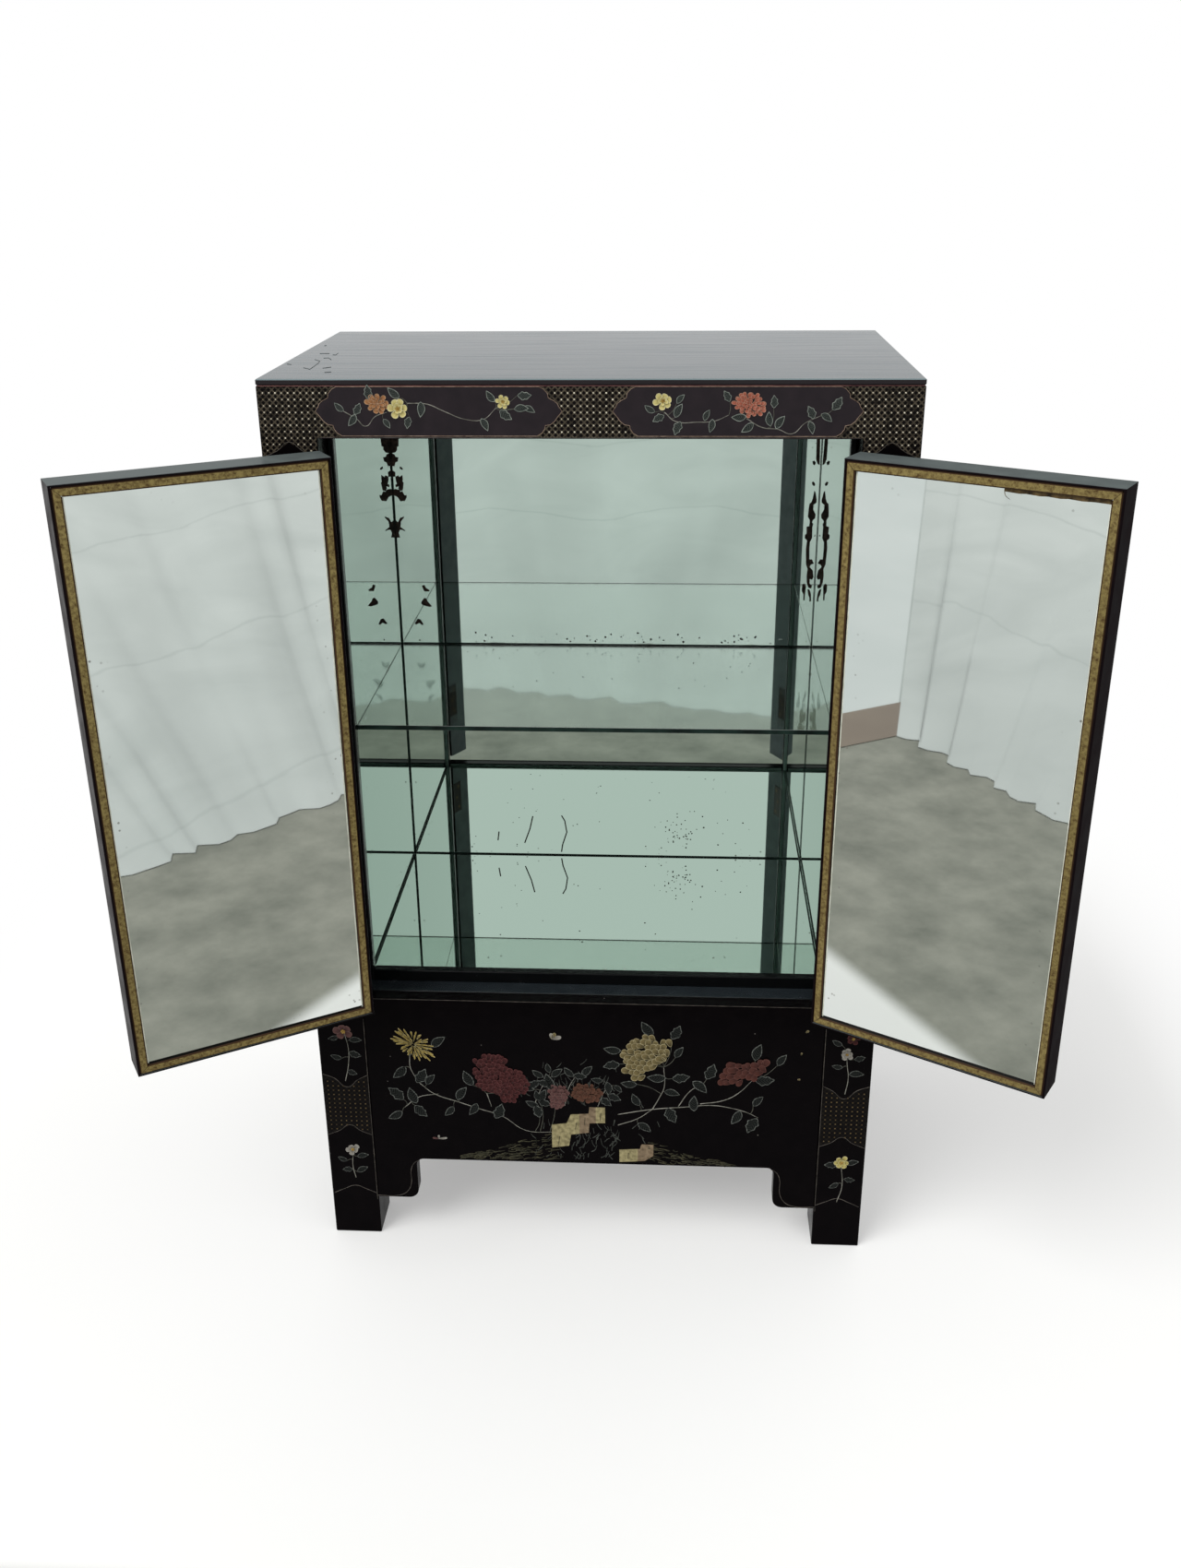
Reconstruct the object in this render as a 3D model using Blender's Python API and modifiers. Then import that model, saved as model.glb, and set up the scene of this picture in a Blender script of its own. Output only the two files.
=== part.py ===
"""A black lacquer bar cabinet with two inset doors, a mirror-lined inside and one glass shelf.

Metres, +Z up. The doors stand open. The origin is on the floor, under the middle of the
whole object's box, open doors included.
"""

import math

import bmesh
import bpy

# Case
CASE_WIDTH = 0.760
CASE_DEPTH = 0.464
CASE_HEIGHT = 1.220
POST = 0.067
TOP_LIP = 0.007
TOP_PLUG = 0.009
FRIEZE_HEIGHT = 0.060
RAIL_THICK = 0.020
LEDGE_HEIGHT = 0.400
SILL_HEIGHT = 0.045
SIDE_PANEL = 0.012
LINING = 0.010
BACK_PANEL = 0.012
BACK_RECESS = 0.025
FLOOR_BOARD = 0.0084
CEILING_BOARD = 0.010

# Apron outline
ARCH_HEIGHT = 0.134
BRACKET_HEIGHT = 0.0655
BRACKET_WIDTH = 0.0587
TOE_RADIUS = 0.014
ARCH_FILLET = 0.010
ARC_STEPS = 6

# Tenons that join the rails to the posts
TENON_LENGTH = 0.015
TENON_SHOULDER = 0.006

# Mirrors, shelf and door stops
MIRROR = 0.003
MIRROR_JOINT = 0.0012
SHELF_TOP = 0.767
SHELF_THICK = 0.0064
SHELF_SETBACK = 0.0794
STOP_WIDTH = 0.0072
STOP_DEPTH = 0.0135
BAR_RISE = 0.017

# Doors
DOOR_THICK = 0.0455
DOOR_HINGE_GAP = 0.0025
DOOR_MEETING_GAP = 0.004
DOOR_FOOT_GAP = 0.0035
DOOR_HEAD_GAP = 0.0125
DOOR_STOP_GAP = 0.0005
DOOR_OUTER_ROUND = 0.0022
DOOR_INNER_ROUND = 0.0012
DOOR_RIM = 0.0024
BEAD_WIDTH = 0.0108
BEAD_THICK = 0.0044
BEAD_CHAMFER = 0.0016
OPEN_ANGLE = math.radians(149.5)
ROUND_STEPS = 4
INNER_ROUND_STEPS = 2

# Butt hinges
HINGE_LENGTH = 0.060
HINGE_INSET = 0.105
LEAF_WIDTH = 0.022
LEAF_THICK = 0.0014
LEAF_SPACE = 0.0005
LEAF_ROOT = 0.00035
LEAF_EDGE = 0.0002
KNUCKLE_RADIUS = 0.0027
PIN_RADIUS = 0.00125
PIN_HEAD = 0.0022
PIN_DOME = 0.0018
PIN_DOME_STEPS = 2
HINGE_SIDES = 16

# Knobs
KNOB_RADIUS = 0.011
KNOB_ROUND = math.radians(140)
KNOB_NECK = 0.005
KNOB_REACH = 0.022
KNOB_FOOT = 0.008
KNOB_FLARE = 0.0027
KNOB_INSET = 0.035
KNOB_HEIGHT = 0.330
KNOB_ROUND_STEPS = 7
KNOB_SIDES = 24

# Fits and finish
FIT = 0.0003
EDGE = 0.0012
FINE_EDGE = 0.0004
GLASS_EDGE = 0.0003
WELD = 1e-6
FLAT_ANGLE = 1e-4
SHARP_ANGLE = math.radians(40)

# Worked-out places. The front plane of the case is y = 0 here.
HALF = CASE_WIDTH / 2
JAMB = HALF - POST
TOP_UNDER = CASE_HEIGHT - TOP_LIP
FRIEZE_UNDER = TOP_UNDER - FRIEZE_HEIGHT
BACK_FRONT = CASE_DEPTH - BACK_RECESS - BACK_PANEL
BACK_GLASS = BACK_FRONT - FIT - MIRROR
FLOOR_UNDER = LEDGE_HEIGHT + FIT
FLOOR_TOP = FLOOR_UNDER + FLOOR_BOARD
FLOOR_GLASS = FLOOR_TOP + FIT + MIRROR
STOP_FRONT = DOOR_THICK + DOOR_STOP_GAP
STOP_BACK = STOP_FRONT + STOP_DEPTH
SIDE_GLASS = JAMB - FIT - MIRROR
AXIS_X = JAMB - DOOR_HINGE_GAP / 2
AXIS_OUT = KNUCKLE_RADIUS + FIT
BORE_RADIUS = PIN_RADIUS + FIT
DOOR_BOTTOM = LEDGE_HEIGHT + DOOR_FOOT_GAP
DOOR_TOP = FRIEZE_UNDER - DOOR_HEAD_GAP
DOOR_HINGE_X = JAMB - DOOR_HINGE_GAP
DOOR_MEETING_X = DOOR_MEETING_GAP / 2
RECESS_DEPTH = BEAD_THICK + MIRROR + 2 * FIT
HINGE_HEIGHTS = {"lower": DOOR_BOTTOM + HINGE_INSET, "upper": DOOR_TOP - HINGE_INSET}
SIDES = {"left": -1, "right": 1}

# The front-most point is the inner meeting corner of an open door.
DOOR_REACH = AXIS_X - DOOR_MEETING_X
DOOR_FORWARD = (
    AXIS_OUT
    + DOOR_REACH * math.sin(OPEN_ANGLE)
    - (AXIS_OUT + DOOR_THICK) * math.cos(OPEN_ANGLE)
)
FRONT_SHIFT = (DOOR_FORWARD - CASE_DEPTH) / 2

for old in list(bpy.data.objects):
    bpy.data.objects.remove(old, do_unlink=True)

PARTS = bpy.data.collections.new("bar_cabinet")
CUTTERS = bpy.data.collections.new("bar_cabinet_cutters")
for collection in (PARTS, CUTTERS):
    bpy.context.scene.collection.children.link(collection)


def material(name, colour, roughness, metallic=0.0):
    made = bpy.data.materials.new(name)
    made.use_nodes = True
    shader = made.node_tree.nodes["Principled BSDF"]
    shader.inputs["Base Color"].default_value = (*colour, 1.0)
    shader.inputs["Roughness"].default_value = roughness
    shader.inputs["Metallic"].default_value = metallic
    return made


LACQUER = material("black_lacquer", (0.008, 0.006, 0.007), 0.18)
BARE_WOOD = material("unpainted_wood", (0.18, 0.10, 0.05), 0.65)
SILVERED = material("silvered_glass", (0.72, 0.80, 0.76), 0.03, 1.0)
CLEAR_GLASS = material("clear_glass", (0.55, 0.72, 0.66), 0.03)
GILT = material("gilt_wood", (0.24, 0.17, 0.06), 0.42, 0.6)
BRASS = material("brass", (0.42, 0.28, 0.09), 0.32, 1.0)


def empty(name, location, parent=None, turn=0.0):
    made = bpy.data.objects.new(name, None)
    made.location = location
    made.rotation_euler.z = turn
    made.parent = parent
    PARTS.objects.link(made)
    return made


ROOT = empty("cabinet_origin", (0.0, FRONT_SHIFT, 0.0))
PIVOTS = {
    side: empty(f"door_{side}_pivot", (sign * AXIS_X, -AXIS_OUT, 0.0), ROOT, sign * OPEN_ANGLE)
    for side, sign in SIDES.items()
}


def add_object(name, mesh, finish, centre, parent=ROOT, collection=PARTS):
    """A mesh placed by its centre in the closed cabinet, carried by the case or by a door."""
    made = bpy.data.objects.new(name, mesh)
    made.parent = parent
    pivot = (0.0, 0.0, 0.0) if parent is ROOT else parent.location
    made.location = [place - origin for place, origin in zip(centre, pivot)]
    if finish:
        mesh.materials.append(finish)
    collection.objects.link(made)
    return made


def box_mesh(name, boxes, centre):
    """Boxes, each given by its low and high corners, in one mesh about a centre."""
    shape = bmesh.new()
    for low, high in boxes:
        corners = bmesh.ops.create_cube(shape, size=1.0)["verts"]
        for vert in corners:
            for axis in range(3):
                middle = (low[axis] + high[axis]) / 2 - centre[axis]
                vert.co[axis] = middle + vert.co[axis] * (high[axis] - low[axis])
    mesh = bpy.data.meshes.new(name)
    shape.to_mesh(mesh)
    shape.free()
    return mesh


def middle_of(low, high):
    return [(a + b) / 2 for a, b in zip(low, high)]


def soften_edges(made, width):
    bevel = made.modifiers.new("edges", "BEVEL")
    bevel.width = width
    bevel.segments = 1
    bevel.limit_method = "ANGLE"


def board(name, low, high, finish, edge=EDGE, parent=ROOT):
    """A plain board with softened edges."""
    centre = middle_of(low, high)
    made = add_object(name, box_mesh(name, [(low, high)], centre), finish, centre, parent)
    soften_edges(made, edge)
    return made


def combine(made, tool_mesh, centre, operation, parent=ROOT):
    """Cuts a tool's shape from a piece, or joins it to the piece."""
    tool = add_object(f"{tool_mesh.name}_tool", tool_mesh, None, centre, parent, CUTTERS)
    tool.hide_render = True
    tool.display_type = "WIRE"
    boolean = made.modifiers.new(operation.lower(), "BOOLEAN")
    boolean.operation = operation
    boolean.object = tool
    boolean.solver = "EXACT"


def cut_boxes(made, name, boxes, parent=ROOT):
    centre = middle_of(*boxes[0])
    combine(made, box_mesh(name, boxes, centre), centre, "DIFFERENCE", parent)


def grown(low, high, margin):
    return [a - margin for a in low], [b + margin for b in high]


def plate(name, points, thickness, finish, centre, turn, parent=ROOT):
    """A flat outline drawn as a filled curve, given its thickness and made a welded mesh."""
    curve = bpy.data.curves.new(name, "CURVE")
    curve.dimensions = "2D"
    curve.fill_mode = "BOTH"
    curve.extrude = thickness / 2
    spline = curve.splines.new("POLY")
    spline.points.add(len(points) - 1)
    for point, (u, v) in zip(spline.points, points):
        point.co = (u, v, 0.0, 1.0)
    spline.use_cyclic_u = True
    drawn = bpy.data.objects.new(name, curve)
    CUTTERS.objects.link(drawn)
    bpy.context.view_layer.update()
    evaluated = drawn.evaluated_get(bpy.context.evaluated_depsgraph_get())
    mesh = bpy.data.meshes.new_from_object(evaluated)
    mesh.materials.clear()
    bpy.data.objects.remove(drawn, do_unlink=True)
    shape = bmesh.new()
    shape.from_mesh(mesh)
    bmesh.ops.remove_doubles(shape, verts=shape.verts, dist=WELD)
    flat = [edge for edge in shape.edges if edge.calc_face_angle(0.0) < FLAT_ANGLE]
    bmesh.ops.dissolve_edges(shape, edges=flat, use_verts=False)
    bmesh.ops.recalc_face_normals(shape, faces=shape.faces)
    shape.to_mesh(mesh)
    shape.free()
    made = add_object(name, mesh, finish, centre, parent)
    made.rotation_euler = turn
    return made


# Turns for a flat outline: standing along X facing the front, or standing along Y.
FACING_FRONT = (math.pi / 2, 0.0, 0.0)
FACING_SIDE = (math.pi / 2, 0.0, math.pi / 2)
LYING = (0.0, 0.0, 0.0)


def arc(centre, radius, start, end):
    steps = [start + (end - start) * i / ARC_STEPS for i in range(ARC_STEPS + 1)]
    return [
        (centre[0] + radius * math.cos(angle), centre[1] + radius * math.sin(angle))
        for angle in steps
    ]


# Mortises that each post receives, filled as the rails are made.
mortises = {f"post_{end}_{side}": [] for end in ("front", "back") for side in SIDES}


def tenon_boxes(low, high, axis):
    """The two stub tenons of a rail that runs along one axis."""
    boxes = []
    for end in (0, 1):
        near = [value + TENON_SHOULDER for value in low]
        far = [value - TENON_SHOULDER for value in high]
        near[axis] = low[axis] - TENON_LENGTH if end == 0 else high[axis] - TENON_SHOULDER
        far[axis] = low[axis] + TENON_SHOULDER if end == 0 else high[axis] + TENON_LENGTH
        boxes.append((near, far))
    return boxes


def join_to_posts(rail, low, high, axis, posts):
    """Gives a rail its tenons and notes the mortises for them."""
    boxes = tenon_boxes(low, high, axis)
    centre = middle_of(low, high)
    combine(rail, box_mesh(f"{rail.name}_tenons", boxes, centre), centre, "UNION")
    for post, (near, far) in zip(posts, boxes):
        mortises[post].append(grown(near, far, FIT))


def make_rails():
    """Front and back rails run between posts along X, side rails along Y."""
    front = ("post_front_left", "post_front_right")
    back = ("post_back_left", "post_back_right")
    width = JAMB - FIT
    fronts = {
        "frieze_rail": (front, 0.0, RAIL_THICK, FRIEZE_UNDER, TOP_UNDER - FIT),
        "sill_rail": (front, RAIL_THICK + FIT, POST, LEDGE_HEIGHT - SILL_HEIGHT, LEDGE_HEIGHT),
        "top_rail_back": (
            back,
            CASE_DEPTH - RAIL_THICK,
            CASE_DEPTH,
            FRIEZE_UNDER,
            TOP_UNDER - FIT,
        ),
        "apron_back": (back, CASE_DEPTH - RAIL_THICK, CASE_DEPTH, ARCH_HEIGHT, LEDGE_HEIGHT),
    }
    for name, (posts, near, far, bottom, top) in fronts.items():
        low, high = (-width, near, bottom), (width, far, top)
        rail = board(name, low, high, LACQUER, FINE_EDGE)
        join_to_posts(rail, low, high, 0, posts)
    for side, sign in SIDES.items():
        outer, inner = sign * HALF, sign * (HALF - RAIL_THICK)
        low = (min(outer, inner), POST + FIT, FRIEZE_UNDER)
        high = (max(outer, inner), CASE_DEPTH - POST - FIT, TOP_UNDER - FIT)
        rail = board(f"top_rail_{side}", low, high, LACQUER, FINE_EDGE)
        join_to_posts(rail, low, high, 1, (f"post_front_{side}", f"post_back_{side}"))


def apron_outline(half_length):
    """Half the lower edge is drawn, bracket toe and arch corner as arcs, and mirrored."""
    inner = half_length - BRACKET_WIDTH
    toe = (inner + TOE_RADIUS, BRACKET_HEIGHT + TOE_RADIUS)
    corner = (inner - ARCH_FILLET, ARCH_HEIGHT - ARCH_FILLET)
    right = [(half_length, LEDGE_HEIGHT), (half_length, BRACKET_HEIGHT)]
    right += arc(toe, TOE_RADIUS, 1.5 * math.pi, math.pi)
    right += arc(corner, ARCH_FILLET, 0.0, 0.5 * math.pi)
    left = [(-u, v) for u, v in reversed(right)]
    return right + left


def make_aprons():
    """Deep boards under the case: the lower edge steps down to a bracket at each post."""
    width = JAMB - FIT
    centre = (0.0, RAIL_THICK / 2, 0.0)
    front = plate(
        "apron_front", apron_outline(width), RAIL_THICK, LACQUER, centre, FACING_FRONT
    )
    low, high = (-width, 0.0, ARCH_HEIGHT), (width, RAIL_THICK, LEDGE_HEIGHT - SILL_HEIGHT)
    join_to_posts(front, low, high, 0, ("post_front_left", "post_front_right"))
    length = (CASE_DEPTH - 2 * POST) / 2 - FIT
    for side, sign in SIDES.items():
        middle = sign * (HALF - RAIL_THICK / 2)
        centre = (middle, CASE_DEPTH / 2, 0.0)
        apron = plate(
            f"apron_{side}", apron_outline(length), RAIL_THICK, LACQUER, centre, FACING_SIDE
        )
        low = (middle - RAIL_THICK / 2, CASE_DEPTH / 2 - length, ARCH_HEIGHT)
        high = (middle + RAIL_THICK / 2, CASE_DEPTH / 2 + length, LEDGE_HEIGHT)
        join_to_posts(apron, low, high, 1, (f"post_front_{side}", f"post_back_{side}"))


def leaf_box(sign, height, swings):
    """A hinge leaf's plate in the closed cabinet, let a little into the wood behind it."""
    away = -1 if swings else 1
    near = sign * (AXIS_X + away * LEAF_SPACE / 2)
    far = sign * (AXIS_X + away * (LEAF_SPACE / 2 + LEAF_THICK))
    knuckle_side = BORE_RADIUS + LEAF_ROOT - AXIS_OUT
    low = (min(near, far), knuckle_side, height - HINGE_LENGTH / 2)
    high = (max(near, far), LEAF_WIDTH, height + HINGE_LENGTH / 2)
    return low, high


def make_posts():
    """Square posts from the floor to the top board, mortised, with gains for the hinges."""
    for end in ("front", "back"):
        for side, sign in SIDES.items():
            name = f"post_{end}_{side}"
            near = 0.0 if end == "front" else CASE_DEPTH - POST
            low = (min(sign * JAMB, sign * HALF), near, 0.0)
            high = (max(sign * JAMB, sign * HALF), near + POST, TOP_UNDER - FIT)
            post = board(name, low, high, LACQUER)
            cuts = list(mortises[name])
            if end == "front":
                for height in HINGE_HEIGHTS.values():
                    cuts.append(grown(*leaf_box(sign, height, False), FIT))
            cut_boxes(post, f"{name}_mortises", cuts)


def make_top():
    """The top board: a thin lip over the whole frame and a plug that drops between the rails."""
    low, high = (-HALF, 0.0, TOP_UNDER), (HALF, CASE_DEPTH, CASE_HEIGHT)
    top = board("top_panel", low, high, LACQUER, EDGE)
    inside = JAMB - FIT
    plug = (
        (-inside, RAIL_THICK + FIT, TOP_UNDER - TOP_PLUG),
        (inside, CASE_DEPTH - RAIL_THICK - FIT, TOP_UNDER + TOP_LIP / 2),
    )
    centre = middle_of(*plug)
    combine(top, box_mesh("top_plug", [plug], centre), centre, "UNION")


def notched_outline(half_width, front, back):
    """A board that reaches past the posts, with a corner notched out for each of them."""
    neck = JAMB - FIT
    shoulder_front, shoulder_back = POST + FIT, CASE_DEPTH - POST - FIT
    right = [
        (neck, front),
        (neck, shoulder_front),
        (half_width, shoulder_front),
        (half_width, shoulder_back),
        (neck, shoulder_back),
        (neck, back),
    ]
    return right + [(-u, v) for u, v in reversed(right)]


def make_panels():
    """Outer side panels, linings behind the side mirrors, back, floor and ceiling boards."""
    between = (POST + FIT, CASE_DEPTH - POST - FIT)
    for side, sign in SIDES.items():
        outer, inner = sign * HALF, sign * (HALF - SIDE_PANEL)
        board(
            f"side_panel_{side}",
            (min(outer, inner), between[0], LEDGE_HEIGHT + FIT),
            (max(outer, inner), between[1], FRIEZE_UNDER - FIT),
            LACQUER,
            FINE_EDGE,
        )
        near, far = sign * JAMB, sign * (JAMB + LINING)
        board(
            f"lining_{side}",
            (min(near, far), between[0], FLOOR_TOP + FIT),
            (max(near, far), between[1], FRIEZE_UNDER),
            BARE_WOOD,
            FINE_EDGE,
        )
    board(
        "back_panel",
        (-JAMB + FIT, BACK_FRONT, LEDGE_HEIGHT - SILL_HEIGHT),
        (JAMB - FIT, BACK_FRONT + BACK_PANEL, TOP_UNDER - TOP_PLUG - FIT),
        LACQUER,
        FINE_EDGE,
    )
    floor_half = HALF - SIDE_PANEL - FIT
    plate(
        "floor_board",
        notched_outline(floor_half, STOP_BACK + FIT, BACK_FRONT - FIT),
        FLOOR_BOARD,
        BARE_WOOD,
        (0.0, 0.0, FLOOR_UNDER + FLOOR_BOARD / 2),
        LYING,
    )
    ceiling_half = HALF - RAIL_THICK - FIT
    plate(
        "ceiling_board",
        notched_outline(ceiling_half, RAIL_THICK + FIT, BACK_FRONT - FIT),
        CEILING_BOARD,
        LACQUER,
        (0.0, 0.0, FRIEZE_UNDER + FIT + CEILING_BOARD / 2),
        LYING,
    )


def make_stops():
    """Strips that the doors close against: a bar along the floor and one up each jamb."""
    inner = JAMB - FIT - STOP_WIDTH
    board(
        "door_stop_bottom",
        (-inner + FIT, STOP_FRONT, FLOOR_UNDER),
        (inner - FIT, STOP_BACK, LEDGE_HEIGHT + BAR_RISE),
        LACQUER,
        EDGE,
    )
    for side, sign in SIDES.items():
        near, far = sign * inner, sign * (JAMB - FIT)
        board(
            f"door_stop_{side}",
            (min(near, far), STOP_FRONT, FLOOR_UNDER),
            (max(near, far), STOP_BACK, FRIEZE_UNDER),
            LACQUER,
            EDGE,
        )


def make_mirrors_and_shelf():
    """Mirror lines the inside in pieces, and the shelf rests on the lower ones' top edges."""
    front = STOP_BACK + FIT
    half = JAMB - FIT
    shelf_under = SHELF_TOP - SHELF_THICK
    board(
        "floor_mirror",
        (-half, front, FLOOR_TOP + FIT),
        (half, BACK_GLASS - MIRROR_JOINT, FLOOR_GLASS),
        SILVERED,
        GLASS_EDGE,
    )
    levels = {
        "lower": (FLOOR_GLASS + MIRROR_JOINT, shelf_under - FIT),
        "upper": (SHELF_TOP + FIT, FRIEZE_UNDER),
    }
    for level, (bottom, top) in levels.items():
        back_bottom = FLOOR_TOP + FIT if level == "lower" else bottom
        board(
            f"back_mirror_{level}",
            (-half, BACK_GLASS, back_bottom),
            (half, BACK_GLASS + MIRROR, top),
            SILVERED,
            GLASS_EDGE,
        )
        for side, sign in SIDES.items():
            near, far = sign * SIDE_GLASS, sign * half
            board(
                f"side_mirror_{side}_{level}",
                (min(near, far), front, bottom),
                (max(near, far), BACK_GLASS - MIRROR_JOINT, top),
                SILVERED,
                GLASS_EDGE,
            )
    board(
        "glass_shelf",
        (-half, SHELF_SETBACK, shelf_under),
        (half, BACK_GLASS + MIRROR, SHELF_TOP),
        CLEAR_GLASS,
        GLASS_EDGE,
    )


def bevel_where(shape, test, width, steps):
    chosen = [edge for edge in shape.edges if test(edge)]
    bmesh.ops.bevel(
        shape, geom=chosen, offset=width, segments=steps, profile=0.5, affect="EDGES"
    )


def door_mesh(name, size):
    """A thick, square-cornered door leaf, its edges eased outside and finely inside."""
    width, height = size
    shape = bmesh.new()
    bmesh.ops.create_cube(shape, size=1.0)
    bmesh.ops.scale(shape, vec=(width, DOOR_THICK, height), verts=shape.verts)
    across = DOOR_THICK / 2 - WELD

    def on_face(sign):
        return lambda edge: all(sign * vert.co.y > across for vert in edge.verts)

    bevel_where(shape, on_face(-1), DOOR_OUTER_ROUND, ROUND_STEPS)
    bevel_where(shape, on_face(1), DOOR_INNER_ROUND, INNER_ROUND_STEPS)
    mesh = bpy.data.meshes.new(name)
    shape.to_mesh(mesh)
    shape.free()
    mesh.shade_smooth()
    mesh.set_sharp_from_angle(angle=SHARP_ANGLE)
    return mesh


def bead_outline(length):
    """A mitred strip, its long side on the door's rim and its short side on the glass."""
    return [
        (-length / 2, 0.0),
        (length / 2, 0.0),
        (length / 2 - BEAD_WIDTH, BEAD_WIDTH),
        (-length / 2 + BEAD_WIDTH, BEAD_WIDTH),
    ]


def chamfer_bead(made):
    """Takes the two long edges off the strip's open face, which is local -Z."""
    shape = bmesh.new()
    shape.from_mesh(made.data)

    def long_edge(edge):
        first, second = (vert.co for vert in edge.verts)
        level = abs(first.y - second.y) < WELD
        return level and first.z < 0.0 and second.z < 0.0

    bevel_where(shape, long_edge, BEAD_CHAMFER, 1)
    shape.to_mesh(made.data)
    shape.free()


def make_beads(side, sign, middle, width, height):
    """Four gilt strips hold the mirror in the door. Mitred ends keep a fit between them."""
    face = DOOR_THICK - BEAD_THICK / 2
    inset = DOOR_RIM + FIT
    long, high = width - 2 * inset, height - 2 * inset
    outward = (middle[0] - width / 2 + inset, middle[0] + width / 2 - inset)
    hinge_x, meeting_x = (outward[0], outward[1]) if sign < 0 else (outward[1], outward[0])
    bottom, top = middle[2] - high / 2, middle[2] + high / 2
    mitre = math.sqrt(2) * FIT
    quarter = math.pi / 2
    strips = {
        "bottom": (long, (middle[0], face, bottom), 0.0),
        "top": (long, (middle[0], face, top), 2 * quarter),
        "hinge": (high, (hinge_x, face, middle[2]), quarter if sign > 0 else -quarter),
        "meeting": (high, (meeting_x, face, middle[2]), -quarter if sign > 0 else quarter),
    }
    for strip, (length, centre, spin) in strips.items():
        bead = plate(
            f"door_{side}_bead_{strip}",
            bead_outline(length - 2 * mitre),
            BEAD_THICK,
            GILT,
            centre,
            (quarter, -spin, 0.0),
            PIVOTS[side],
        )
        chamfer_bead(bead)


def make_doors():
    """A door: the thick leaf, a mirror let into its inside and the gilt strips round it."""
    width = DOOR_HINGE_X - DOOR_MEETING_X
    height = DOOR_TOP - DOOR_BOTTOM
    for side, sign in SIDES.items():
        pivot = PIVOTS[side]
        middle = (
            sign * (DOOR_HINGE_X + DOOR_MEETING_X) / 2,
            DOOR_THICK / 2,
            (DOOR_TOP + DOOR_BOTTOM) / 2,
        )
        name = f"door_{side}_panel"
        panel = add_object(name, door_mesh(name, (width, height)), LACQUER, middle, pivot)
        recess_low = (
            middle[0] - width / 2 + DOOR_RIM,
            DOOR_THICK - RECESS_DEPTH,
            DOOR_BOTTOM + DOOR_RIM,
        )
        recess_high = (
            middle[0] + width / 2 - DOOR_RIM,
            DOOR_THICK + RECESS_DEPTH,
            DOOR_TOP - DOOR_RIM,
        )
        cuts = [(recess_low, recess_high)]
        for height_of_hinge in HINGE_HEIGHTS.values():
            cuts.append(grown(*leaf_box(sign, height_of_hinge, True), FIT))
        cut_boxes(panel, f"{name}_cuts", cuts, pivot)
        glass_low = [value + FIT for value in recess_low]
        glass_high = [value - FIT for value in recess_high]
        glass_high[1] = glass_low[1] + MIRROR
        board(f"door_{side}_mirror", glass_low, glass_high, SILVERED, GLASS_EDGE, pivot)
        make_beads(side, sign, middle, width, height)


def rod_mesh(name, radius, length):
    """A round rod along Z, centred."""
    shape = bmesh.new()
    bmesh.ops.create_cone(
        shape,
        cap_ends=True,
        segments=HINGE_SIDES,
        radius1=radius,
        radius2=radius,
        depth=length,
    )
    mesh = bpy.data.meshes.new(name)
    shape.to_mesh(mesh)
    shape.free()
    return mesh


def make_hinge_leaf(name, side, sign, height, swings):
    """A leaf with its share of the knuckles, notched round the other leaf's, and bored."""
    parent = PIVOTS[side] if swings else ROOT
    low, high = leaf_box(sign, height, swings)
    leaf = board(name, low, high, BRASS, LEAF_EDGE, parent)
    third = HINGE_LENGTH / 3
    own = [0] if swings else [-1, 1]
    others = [-1, 1] if swings else [0]
    axis = (sign * AXIS_X, -AXIS_OUT)
    notches = []
    for step in others:
        middle = height + step * third
        reach = third / 2 + FIT
        notches.append(
            (
                (low[0] - LEAF_THICK, -AXIS_OUT - KNUCKLE_RADIUS, middle - reach),
                (high[0] + LEAF_THICK, FIT, middle + reach),
            )
        )
    cut_boxes(leaf, f"{name}_notches", notches, parent)
    for step in own:
        centre = (*axis, height + step * third)
        knuckle = rod_mesh(f"{name}_knuckle{step}", KNUCKLE_RADIUS, third - FIT)
        combine(leaf, knuckle, centre, "UNION", parent)
    bore = rod_mesh(f"{name}_bore", BORE_RADIUS, 2 * HINGE_LENGTH)
    combine(leaf, bore, (*axis, height), "DIFFERENCE", parent)


def turned(name, profile, finish, centre, turn, steps, parent):
    """A turned piece: a profile at +X, top to bottom, swept about its own Z."""
    mesh = bpy.data.meshes.new(name)
    edges = [(i, i + 1) for i in range(len(profile) - 1)]
    mesh.from_pydata([(radius, 0.0, height) for radius, height in profile], edges, [])
    made = add_object(name, mesh, finish, centre, parent)
    made.rotation_euler = turn
    screw = made.modifiers.new("turned", "SCREW")
    screw.steps = steps
    screw.render_steps = steps
    screw.use_merge_vertices = True
    screw.merge_threshold = WELD


def dome(radius, rise, base, turn, steps):
    """Profile points down a round cap, from its top."""
    angles = [turn * i / steps for i in range(steps + 1)]
    return [(radius * math.sin(angle), base + rise * math.cos(angle)) for angle in angles]


def make_hinges():
    """Two butt hinges a door, each a case leaf, a door leaf and a headed pin."""
    for side, sign in SIDES.items():
        for level, height in HINGE_HEIGHTS.items():
            stem = f"hinge_{side}_{level}"
            make_hinge_leaf(f"{stem}_case_leaf", side, sign, height, False)
            make_hinge_leaf(f"{stem}_door_leaf", side, sign, height, True)
            end = HINGE_LENGTH / 2 + FIT
            head = dome(PIN_HEAD, PIN_DOME, end, math.pi / 2, PIN_DOME_STEPS)
            profile = head + [(PIN_RADIUS, end), (PIN_RADIUS, -end), (0.0, -end)]
            centre = (sign * AXIS_X, -AXIS_OUT, height)
            turned(f"{stem}_pin", profile, BRASS, centre, LYING, HINGE_SIDES, ROOT)


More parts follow.
